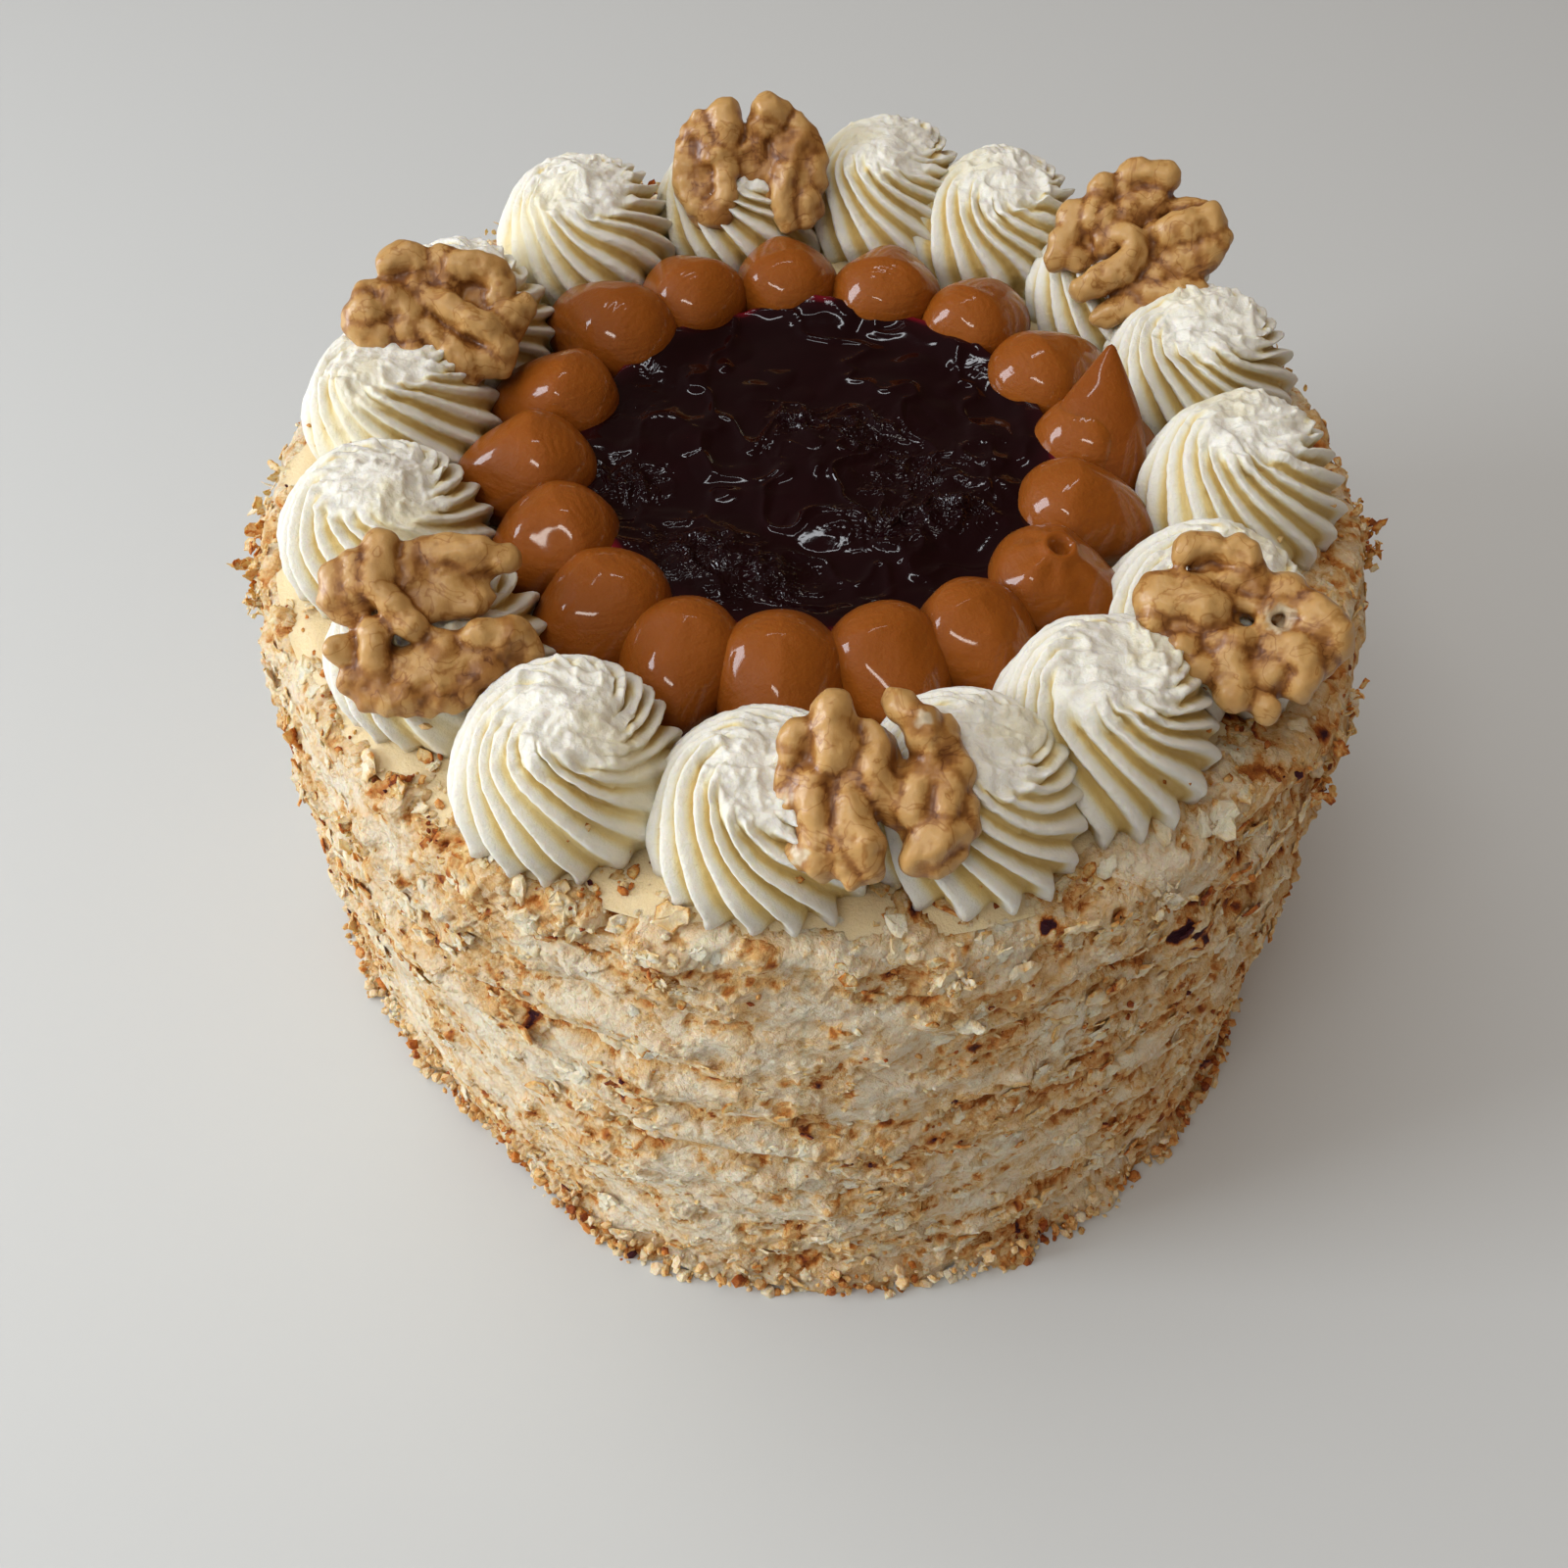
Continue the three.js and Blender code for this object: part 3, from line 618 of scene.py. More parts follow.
def coat_piece(quarter):
    """A quarter of the coat as one closed wedge: rings of an arc and a point on the cake's axis, stepped up
    along the profile. Neighbouring quarters share the points and normals of their edges. As painted shade,
    crevices, which lie lower than the mean of what is round them, are browner, and proud places paler."""
    step = np.pi / 2 / (COAT_COLUMNS - 1)
    turn = quarter * np.pi / 2 + step * np.arange(-CREVICE_REACH, COAT_COLUMNS + CREVICE_REACH)
    along, turn = np.meshgrid(np.linspace(0, PROFILE_LENGTH, COAT_ROWS), turn, indexing="ij")
    point, outward = profile(turn, along)
    rise, tone = crumb_relief(point)
    proud = rise - blurred(rise, CREVICE_REACH)
    # Painted shade and light: browner in crevices, paler on proud places.
    tone = tone + 0.34 * smooth_step(0.1, -1.0, proud) - 0.08 * smooth_step(0.1, 0.9, proud)
    calm = smooth_step(PROFILE_LENGTH, PROFILE_LENGTH - 5, along)
    skirt = smooth_step(7, 0, point[..., 2]) * (1.5 + 2.0 * soft_noise(point / 4.5, 91))
    sunk = 1.1 * smooth_rim(turn) * smooth_step(SIDE_LENGTH + 4, SIDE_LENGTH + CORNER_LENGTH, along)
    surface = point + outward * (rise * (0.3 + 0.7 * calm) + skirt - sunk)[..., None]
    surface[..., 2] = np.maximum(surface[..., 2], 0)
    surface[0, :, 2] = 0
    inner = slice(CREVICE_REACH, -CREVICE_REACH)
    normal = np.cross(np.gradient(surface, axis=1), np.gradient(surface, axis=0))
    normal = normal / np.maximum(np.linalg.norm(normal, axis=-1), 1e-6)[..., None]
    up = np.broadcast_to([0.0, 0.0, 1.0], (COAT_ROWS, 1, 3))
    normals = with_ends(np.concatenate([normal[:, inner], up], 1), *up[:2, 0])
    axis = around_axis(0, 0, np.linspace(0, WEDGE_TOP, COAT_ROWS)[:, None])
    ends = around_axis(50, (quarter + 0.5) * np.pi / 2, np.array([0, WEDGE_TOP]))
    points = within_solids(with_ends(np.concatenate([surface[:, inner], axis], 1), *ends))
    tone = np.concatenate([tone[:, inner], np.full((COAT_ROWS, 1), INSIDE_TONE)], 1)
    values = {"tone": ring_values(tone, INSIDE_TONE, INSIDE_TONE)}
    faces = ring_faces(COAT_ROWS, COAT_COLUMNS + 1)
    return new_piece(f"crumb_coat_{quarter + 1}", points, faces, coat, values, normals=normals)


for quarter in range(4):
    settle(coat_piece(quarter), "pastry_crumb", "cake_body")


# Flakes and crumbs


def scatter_places(turn, along, out=0.0):
    """Places on the coat at turns and distances along the profile: a point in the crumbs, or farther out, the
    way out, the turn and the tone of each."""
    point, outward = profile(turn, along)
    rise, tone = crumb_relief(point)
    return point + outward * (rise + out)[:, None], outward, turn, tone


def flake_template(corners, rng):
    """A thin ragged chip with its face to the third axis, 1 across: an outline, its copy above, a smaller
    ring inside and a fan on each face, bent a little. Its outline is browner than its middle."""
    turn = 2 * np.pi * (np.arange(corners) + rng.uniform(-0.35, 0.35, corners)) / corners
    reach = 0.5 * rng.uniform(0.66, 1.12, corners) * (1 + 0.15 * np.cos(2 * turn + rng.uniform(0, 6)))
    outline = np.stack([reach * np.cos(turn), rng.uniform(0.55, 0.95) * reach * np.sin(turn)], -1)
    thick = rng.uniform(0.03, 0.06)
    upper = np.column_stack([outline * 0.9, thick + 0.05 * rng.uniform(-1, 1, corners)])
    lower = np.column_stack([outline, -thick + 0.04 * rng.uniform(-1, 1, corners)])
    inner = np.column_stack([
        outline * rng.uniform(0.35, 0.6, (corners, 1)),
        thick + 0.01 + 0.05 * rng.uniform(-1, 1, corners),
    ])
    points = np.concatenate([lower, upper, inner, [[0, 0, thick + 0.01], [0, 0, -0.5 * thick]]])
    points[:, 2] += rng.uniform(-0.5, 0.5) * points[:, 0] ** 2 + rng.uniform(-0.4, 0.4) * points[:, 1] ** 2
    here = np.arange(corners)
    after = (here + 1) % corners
    faces = []
    for ring in range(2):
        base = ring * corners
        faces.append(np.stack([base + here, base + after, base + corners + after], -1))
        faces.append(np.stack([base + here, base + corners + after, base + corners + here], -1))
    faces.append(np.stack([2 * corners + here, 2 * corners + after, np.full(corners, 3 * corners)], -1))
    faces.append(np.stack([after, here, np.full(corners, 3 * corners + 1)], -1))
    scorch = rng.uniform(0, 1, corners) ** 2
    tints = np.concatenate([0.1 + 0.3 * scorch, 0.05 + 0.22 * scorch, np.full(corners, -0.05), [-0.05, 0.1]])
    return points, np.concatenate(faces), tints


def crumb_template(rng):
    """A small angular lump: a twenty-sided solid with its corners pushed in and out."""
    golden = (1 + 5**0.5) / 2
    points = []
    for first in (-1, 1):
        for second in (-golden, golden):
            points += [(0, first, second), (first, second, 0), (second, 0, first)]
    points = np.array(points) / np.hypot(1, golden) * 0.5
    near = np.linalg.norm(points[:, None] - points[None], axis=-1) < 0.6
    faces = []
    for a in range(12):
        for b in range(a + 1, 12):
            for c in range(b + 1, 12):
                if near[a, b] and near[b, c] and near[a, c]:
                    outward = np.dot(np.cross(points[b] - points[a], points[c] - points[a]), points[a]) > 0
                    faces.append((a, b, c) if outward else (a, c, b))
    stretch = rng.uniform(0.7, 1.3, 3)
    return points * rng.uniform(0.6, 1.25, (12, 1)) * stretch, np.array(faces), rng.uniform(-0.06, 0.06, 12)


CRISP_ANGLE = np.radians(45)
LOWEST_CRUMB = 0.05


def spread_copies(name, templates, rng, places, sizes, tones, lean, sink, smooth=False):
    """Copies of drawn templates on places: each is scaled, spun about the way out, leant over by its own
    radians and sunk by a share of its size. Their faces are flat, or smooth between crisp rims."""
    point, outward, turn, base_tone = places
    count = len(point)
    around = np.stack([-np.sin(turn), np.cos(turn), np.zeros(count)], -1)
    upward = np.cross(outward, around)
    spin = rng.uniform(0, 2 * np.pi, count)
    first = around * np.cos(spin)[:, None] + upward * np.sin(spin)[:, None]
    second = np.cross(outward, first)
    third = outward * np.cos(lean)[:, None] + first * np.sin(lean)[:, None]
    frames = np.stack([np.cross(second, third), second, third], 1)
    kind = rng.integers(0, len(templates), count)
    middle = point - outward * (sink * sizes)[:, None]
    parts = []
    total = 0
    for number, (shape, faces, tints) in enumerate(templates):
        chosen = np.nonzero(kind == number)[0]
        own = frames[chosen]
        placed = sum(shape[None, :, axis, None] * own[:, None, axis] for axis in range(3))
        placed = placed * sizes[chosen, None, None] + middle[chosen, None]
        shift = total + np.arange(len(chosen))[:, None, None] * len(shape)
        tone = (base_tone[chosen] + tones[chosen])[:, None] + tints
        parts.append((placed.reshape(-1, 3), (faces[None] + shift).reshape(-1, 3), tone.ravel()))
        total += len(chosen) * len(shape)
    points, faces, tone = (np.concatenate(part) for part in zip(*parts))
    points = within_solids(points)
    points[:, 2] = np.maximum(points[:, 2], LOWEST_CRUMB)
    piece = new_piece(name, points, [faces], crumbs, {"tone": tone}, smooth=smooth)
    if smooth:
        piece.data.set_sharp_from_angle(angle=CRISP_ANGLE)
    return settle(piece, "pastry_crumb", "cake_body")


def whole_coat(rng, count):
    """Drawn turns and distances all over the coat, fewer of them where the cream shows through."""
    turn, along = rng.uniform(0, 2 * np.pi, count), rng.uniform(1, PROFILE_LENGTH - 1, count)
    kept = rng.uniform(0, 1, count) > 0.85 * bareness(profile(turn, along)[0])
    return turn[kept], along[kept]


rng = np.random.default_rng(11)
scale_kinds = [flake_template(corners, rng) for corners in (12, 13, 14, 15) for _ in range(3)]
chip_kinds = [flake_template(corners, rng) for corners in (8, 9, 10) for _ in range(4)]
crumb_kinds = [crumb_template(rng) for _ in range(14)]

# Each scatter: how many are drawn, how far out they lie, their sizes, the mean and the spread of their tones,
# their leans, and how far they are sunk. Crumbs keep flat faces.
for name, kinds, number, out, sizes, tones, leans, sink in (
    ("pastry_scales", scale_kinds, 1600, 0.1, (2.8, 4.7, 1.6), (-0.12, 0.10), (0.05, 0.45, 1.5), 0.0),
    ("pastry_chips", chip_kinds, 2200, 0.1, (1.6, 2.6, 1.6), (-0.02, 0.12), (0.0, 0.6, 1.5), 0.02),
    ("pastry_crumbs", crumb_kinds, 4600, 0.0, (0.5, 1.1, 2), (0.0, 0.1), (0.0, 1.5), 0.15),
):
    turn, along = whole_coat(rng, number)
    count = len(turn)
    spread_copies(
        name, kinds, rng, scatter_places(turn, along, out), drawn(rng, count, *sizes),
        rng.normal(*tones, count), drawn(rng, count, *leans), sink, smooth=kinds is not crumb_kinds,
    )

# Toasted bits lie in drifts, where a broad noise is high, and more of them near the rim
turn, along = whole_coat(rng, 9000)
drift = soft_noise(around_axis(5, turn, along / 16), 95)
drift += 0.3 * smooth_step(SIDE_LENGTH - 14, SIDE_LENGTH + 2, along)
chosen = drift + 0.5 * rng.uniform(-1, 1, len(turn)) > 0.4
turn, along = turn[chosen], along[chosen]
count = len(turn)
spread_copies(
    "toasted_crumbs", crumb_kinds, rng, scatter_places(turn, along), drawn(rng, count, 0.5, 1.3, 2.5),
    rng.uniform(0.15, 0.5, count), drawn(rng, count, 0.0, 1.5), 0.1,
)

# Ragged clusters that stand out at the rim and down the sides
cluster = np.repeat(np.array(RIM_FLAKES, float), 24, axis=0)
count = len(cluster)
wide = cluster[:, 1]
turn = np.radians(cluster[:, 0]) + rng.normal(0, 0.26, count) * wide / CAKE_RADIUS
along = cluster[:, 2] - 3 + rng.normal(0, 0.26, count) * wide
spread_copies(
    "rim_clusters", scale_kinds, rng, scatter_places(turn, along, rng.uniform(0, 0.32, count) * wide),
    wide * rng.uniform(0.14, 0.36, count), rng.uniform(-0.15, 0.12, count),
    rng.uniform(0.2, 1.4, count), 0.05, smooth=True,
)

# The skirt of crumbs round the foot
count = 2000
turn, along = rng.uniform(0, 2 * np.pi, count), drawn(rng, count, 0.0, 7, 1.5)
spread_copies(
    "foot_crumbs", crumb_kinds, rng, scatter_places(turn, along, rng.uniform(0, 3.4, count)),
    drawn(rng, count, 0.8, 2.6, 2), rng.normal(0.08, 0.14, count), drawn(rng, count, 0.0, 1.5), 0.1,
)


# The smooth cream on top

CREAM_RADIUS = 101.5
CREAM_UNDERSIDE = CAKE_HEIGHT - 4


def top_cream_piece():
    """The cream on top: a disc of rings with broad, faint waves from the palette knife. Its edge droops under
    the crumbs, least at the front left."""
    rows = 60
    columns = 240
    reach = np.concatenate([[CREAM_RADIUS - 1, CREAM_RADIUS], np.linspace(CREAM_RADIUS, 1, rows - 2)])
    height = np.full((rows, 1), CAKE_HEIGHT)
    height[0] = CREAM_UNDERSIDE
    radius, turn = ring_grid(reach, columns)
    point = around_axis(radius, turn, height)
    kept = smooth_rim(turn)
    start = 92 + 5.5 * kept + 1.5 * soft_noise(point / 12, 8)
    droop = (3.2 - 1.4 * kept) * smooth_step(start, CREAM_RADIUS, radius)
    point[1:, :, 2] += (0.25 * soft_noise(point / 9, 7) - droop)[1:]
    points = with_ends(point, [0, 0, CREAM_UNDERSIDE], [0, 0, CAKE_HEIGHT])
    # Above 1 this value gives the smooth cream its own vanilla colour, with no painted shade.
    values = {"flute_shade_and_vanilla": np.full(len(points), 1.05)}
    return new_piece("cream_top", points, ring_faces(rows, columns), cream, values)


settle(top_cream_piece(), "cream", "top_cream")


# Rosettes

ROSETTE_RADIUS = 17.5
ROSETTE_RIDGES = 17
DOME_POWER = 2 / 2.7
GENTLE_SIDE = 0.54
STEEP_SIDE = 1 - GENTLE_SIDE
RIDGE_DEPTH = 3.0
FOOT_FADE = 4.0
ROSETTE_SKIN = []


def rosette_piece(place):
    """A piped rosette. Its dome is a superellipse of lift, a quarter turn from foot to crown: radius
    cos^(2/2.7) and rise sin^(2/2.7), with a belly that is a bell curve of height. Ridges run up it, turning
    by about 130 degrees times share^1.4. Across a ridge its height is a cosine wave to a power p, steeper on
    one side of the crest: p is 1 on the dome and 1.3 at the foot. The crown is a rough lumpy cap. On the side
    where the nozzle was drawn off the ridges are smeared: their depth falls by a bell curve of the angle."""
    rows = 70
    columns = ROSETTE_RIDGES * 12
    angle, reach, tall = ROSETTE_ANGLES[place], ROSETTE_REACHES[place], ROSETTE_HEIGHTS[place]
    own = np.random.default_rng(100 + place)
    share, turn = ring_grid(np.linspace(0, CROWN_SHARE, rows) ** 0.93, columns)
    lift = share * np.pi / 2
    wide = np.cos(lift) ** DOME_POWER
    rise = np.sin(lift) ** DOME_POWER
    twist = np.radians(own.uniform(116, 140)) * share**1.4
    ring = around_axis(1, turn, 1.7 * place)

    wander = soft_noise(ring * 1.6 + np.array([0, 0, 2.5]) * share[..., None], 201)
    phase = ROSETTE_RIDGES * turn / (2 * np.pi) + 0.25 * wander
    off = phase - np.round(phase)
    number = np.round(phase) % ROSETTE_RIDGES
    side = np.where(off > 0, off / GENTLE_SIDE, -off / STEEP_SIDE)
    side = np.where(side > 1, (1 - np.abs(off)) / GENTLE_SIDE, side)
    side = np.clip(side, 0, 1)
    foot = np.exp(-rise * tall / FOOT_FADE)
    wave = 0.5 + 0.5 * np.cos(np.pi * side)
    crest = wave ** (1.0 + 0.3 * foot)
    own_place = np.stack([number * 3.7, 2.0 * share, np.full(share.shape, 5.0 * place)], -1)
    strength = 1 + 0.3 * soft_noise(own_place, 206)
    ends = 0.60 + 0.10 * soft_noise(own_place * np.array([1, 0, 1]), 207)
    crown = smooth_step(ends, ends + 0.16, share)
    at = turn + np.radians(angle) - twist
    drawn_off = np.radians(angle + 90 + own.uniform(-25, 25))
    smear = np.exp((np.cos(at - drawn_off) - 1) / 0.2)
    facing = (0.97 + 0.2 * soft_noise(ring * 1.3 + 9.0, 208)) * (1 - 0.8 * smear)
    strength = np.clip(strength * facing, 0.12, 1.3)
    deep = RIDGE_DEPTH * strength * wide**0.7 * (1 - crown)
    swell = deep * (crest - 0.7) + foot * (0.6 * crest * strength - 0.2)
    at = at - 0.012 * crest * (0.3 + wide) * (1 - crown)
    belly = 1 + 0.07 * bell(tall * rise, 6.5, 4.5)
    radius = ROSETTE_RADIUS * wide * belly + swell * wide**0.5
    radius = radius + foot * 0.9 * soft_noise(ring * 2.3 + 4.0, 209)
    shelf = bell(share - ends, 0.07, 0.06) * (0.6 + 0.6 * soft_noise(ring * 2.1 + 6.0, 210))
    radius = radius + 0.8 * shelf + 0.5 * smear * soft_noise(ring * 6 + 5 * share[..., None], 215)
    height = tall * rise + swell * np.sin(lift) * 0.8
    base = around_axis(radius, at, height)

    cap = smooth_step(0.52, 0.72, share)
    streaky = base / np.array([4.5, 1.5, 3.0]) + 0.6 * soft_noise(base / 3.0, 216 + place)[..., None]
    peaks = 0.45 - np.abs(soft_noise(base / 3.2, 212 + place))
    lump = 0.7 * soft_noise(base / 4.2, 211 + place) + 0.8 * soft_noise(streaky, 230 + place) + 1.1 * peaks
    lump += 0.26 * soft_noise(base / 0.9, 214 + place)
    base[..., 2] += cap * lump * (1.35 - 0.5 * share)
    base[..., :2] *= (1 + 0.035 * cap * soft_noise(base / 2.0, 213 + place))[..., None]
    base += 0.12 * noise_vector(base / 0.9, 221)
    sway = 1.2 * noise_vector(base / 11 + 9 * place, 231)
    base += sway * (height / tall)[..., None]
    tip = own.uniform(-1.6, 1.6, 2)
    base[..., :2] += tip * (height / tall)[..., None] ** 2
    base[0, :, 2] = 0
    base[..., 2] = np.maximum(base[..., 2], 0)

    centre = polar(angle, reach, PIPING_BASE)
    points = with_ends(base, [0, 0, 0], base[-1].mean(0)) + centre
    # Painted shade: this value is highest deep in the grooves between the ridges, where it darkens and
    # yellows the cream.
    flute_shade_and_vanilla = 0.8 * smooth_step(0.8, 0.12, wave) * np.clip(1.2 * strength, 0, 1) * (1 - 0.9 * crown)
    outer = slice(3, 40, 5)
    facing_out = np.cos(at[outer] - np.radians(angle)) > 0.2
    ROSETTE_SKIN.append((base[outer][facing_out] + centre, at[outer][facing_out]))
    values = {"flute_shade_and_vanilla": ring_values(flute_shade_and_vanilla + 0.2 * smear)}
    return new_piece(f"cream_rosette_{place + 1:02d}", points, ring_faces(rows, columns), cream, values)


for place in range(len(ROSETTE_ANGLES)):
    settle(rosette_piece(place), "cream", f"rosette_{place + 1:02d}")

# Crumbs that have strayed on to the rosettes
skin, turn = (np.concatenate(part) for part in zip(*ROSETTE_SKIN))
count = 90
chosen = rng.choice(len(skin), count, replace=False)
turn = turn[chosen]
spread_copies(
    "stray_crumbs", chip_kinds + crumb_kinds, rng,
    (skin[chosen], around_axis(0.7, turn, 0.7), turn, np.zeros(count)),
    drawn(rng, count, 0.6, 1.5, 2), rng.uniform(0.3, 0.6, count), rng.uniform(0, 0.6, count), 0.0,
)


# Beads of dulce de leche

BEAD_HALF_WIDTH = 12.2
BEAD_HALF_LENGTH = 12.6
BEAD_HEIGHT = 15.0
BEAD_POWER = 2 / 2.2
BEAD_SIZES = [1, 0.98, 1.04, 0.98, 1.02, 0.96, 1, 1.03, 0.97, 1, 1.08, 0.99, 1.05, 1, 1.04, 0.98, 1.05]
TAILED_BEAD = 5
PITTED_BEAD = 7
LONG_BEAD = 16


def bead_piece(place):
    """A plump drop: a superellipse dome, round in front, towards the jam, lower and drawn out behind, and
    fuller on the side where it was piped over its neighbour. A few thin arcs are pressed into its inner top.
    One has a pit with a lip, where the nozzle came off."""
    rows = 44
    columns = 88
    own = np.random.default_rng(300 + place)
    share, turn = ring_grid(np.linspace(0, CROWN_SHARE, rows), columns)
    lift = share * np.pi / 2
    wide = np.cos(lift) ** BEAD_POWER * (1 - 0.16 * np.exp(-np.sin(lift) / 0.22))
    rise = np.sin(lift) ** BEAD_POWER
    behind = smooth_step(-0.3, 1.0, np.cos(turn))
    size = BEAD_SIZES[place]
    long = size * BEAD_HALF_LENGTH * (1.12 if place == LONG_BEAD else 1)
    along = long * wide * np.cos(turn) * (1 + 0.22 * behind) - 1.6 * rise
    across = size * BEAD_HALF_WIDTH * wide * np.sin(turn) * (1 - 0.10 * behind)
    across = across * (1 - 0.06 * np.sin(turn)) - 0.5 * rise
    height = own.uniform(0.96, 1.04) * BEAD_HEIGHT * rise * (1 - 0.22 * behind * wide)
    arcs = np.sin(2 * np.pi * (along + 0.04 * across**2) / 1.5 + own.uniform(0, 6))
    marked = smooth_step(-1, -5.5, along) * smooth_step(0.55, 0.85, rise) * smooth_step(8, 4, np.abs(across))
    height -= 0.13 * np.clip(arcs, 0, 1) ** 3 * marked * own.uniform(0.4, 1.0)
    if place == PITTED_BEAD:
        away = np.hypot(along + 1.0, across + 0.5)
        height += 0.9 * bell(away, 2.5, 0.9) - 3.2 * bell(away, 0, 1.5)
        around = np.arctan2(across + 0.5, along + 1.0)
        height += 0.22 * np.cos(7 * around) * smooth_step(2.5, 5, away) * smooth_step(11, 7, away)
    outward = np.radians(BEAD_ANGLES[place] + own.uniform(-7, 7))
    point = np.stack([
        along * np.cos(outward) - across * np.sin(outward),
        along * np.sin(outward) + across * np.cos(outward),
        height,
    ], -1)
    point += 0.5 * noise_vector(point / 7 + 5 * place, 311)
    point[..., 2] = np.maximum(point[..., 2], 0)
    points = with_ends(point, [0, 0, 0], point[-1].mean(0))
    points = points + polar(BEAD_ANGLES[place], BEAD_REACHES[place], PIPING_BASE)
    # Painted shade: low is 1 at the foot of the bead and 0 from 0.62 of the way up, and it darkens the
    # caramel; the tail gets a little of it.
    low = ring_values(smooth_step(0.62, 0.0, rise), 1, 0)
    faces = ring_faces(rows, columns)
    if place == TAILED_BEAD:
        tail_points, tail_faces = tail()
        faces += [part + len(points) for part in tail_faces]
        points = np.concatenate([points, tail_points])
        low = np.concatenate([low, np.full(len(tail_points), 0.25)])
    return new_piece(f"dulce_bead_{place + 1:02d}", points, faces, dulce, {"low": low})


# The tail's route: an angle and a distance from the middle of the piping, a rise and a half width
TAIL_ROUTE = [
    (-1, 51, 3, 9.6), (3, 52, 7.5, 9.8), (8, 53.2, 12.5, 7.8), (13, 55, 16.5, 4.4), (17, 56.8, 20.5, 0.8),
]


def tail():
    """The tall tail that one bead was drawn out into, like a leaf: flat ovals along a rising route, as wide
    as the route says and 0.6 as thick."""
    route = smooth_path(
        [(*polar(angle, reach, PIPING_BASE + rise), wide) for angle, reach, rise, wide in TAIL_ROUTE], 7
    )
    columns = 48
    turn = np.linspace(0, 2 * np.pi, columns, endpoint=False)
    ahead = np.gradient(route[:, :3], axis=0)
    ahead /= np.linalg.norm(ahead, axis=1)[:, None]
    flat = np.cross(ahead, [0, 0, 1])
    flat /= np.linalg.norm(flat, axis=1)[:, None]
    proud = np.cross(flat, ahead)
    ring = (
        np.cos(turn)[None, :, None] * flat[:, None] * route[:, None, 3:]
        + 0.6 * np.sin(turn)[None, :, None] * proud[:, None] * route[:, None, 3:]
    )
    points = with_ends(route[:, None, :3] + ring, route[0, :3], route[-1, :3] + 0.5 * ahead[-1])
    return points, ring_faces(len(route), columns)


for place in range(len(BEAD_ANGLES)):
    settle(bead_piece(place), "dulce_de_leche", f"dulce_{place + 1:02d}")


# The jam

# Where the jam's skin is wrinkled: a middle and how far the wrinkles reach
JAM_WRINKLES = [
    (9, 6, 7), (-4, 9, 6), (18, -6, 9), (25, -15, 7), (-21, -28, 9), (-10, -33, 9), (-36, -10, 7),
    (15, -19, 8),
]
JAM_RADIUS = 47


def jam_piece():
    """The pool of jam: rings of a low disc that rises against the beads, its top broad soft lumps of fruit
    with shallow folds between. Some patches are busy with wrinkles."""
    rows = 156
    columns = 380
    reach = np.concatenate([[JAM_RADIUS - 0.5, JAM_RADIUS], np.linspace(JAM_RADIUS, 0.4, rows - 2)])
    reach, turn = ring_grid(reach, columns)
    point = around_axis(reach, turn, 0.0)
    point[..., :2] += PIPING_CENTRE
    warp = noise_vector(point / 6, 401)
    fold = 1 - np.abs(soft_noise(point / 12 + 0.5 * warp, 406))
    busy = 0.09 * smooth_step(0.2, 0.7, soft_noise(point / 11, 408))
    for x, y, wide in JAM_WRINKLES:
        away = np.hypot(point[..., 0] - x, 1.5 * (point[..., 1] - y)) / wide
        busy = np.maximum(busy, bell(away, 0, 1) * (0.75 + 0.5 * soft_noise(point / 5, 410)))
    wrinkle = 1 - np.abs(soft_noise(point / np.array([4.6, 3.0, 3.0]) + 0.8 * warp, 407))
    distance, number, _ = grains(point / 9.0 + 0.2 * warp, 404)
    fruit = np.clip(1 - (distance / (0.35 + 0.25 * number)) ** 2, 0, 1)
    rise = 6.2 + 1.3 * soft_noise(point / 15, 405) + 0.7 * fold**4 + 0.4 * fruit + 2.1 * busy * wrinkle**4
    rise += 1.4 * smooth_step(36, 45, reach)
    point[..., 2] = PIPING_BASE + rise * smooth_step(JAM_RADIUS, 44.5, reach)
    point[0, :, 2] = PIPING_BASE
    points = with_ends(point, [*PIPING_CENTRE, PIPING_BASE], point[-1].mean(0))
    thin = smooth_step(40, 45.5, reach) * (0.55 + 0.45 * soft_noise(point / 8, 412))
    values = {"thin": ring_values(thin), "busy": ring_values(busy)}
    return new_piece("jam_pool", points, ring_faces(rows, columns), jam, values)


settle(jam_piece(), "fruit_jam", "fruit_jam")


# Walnuts

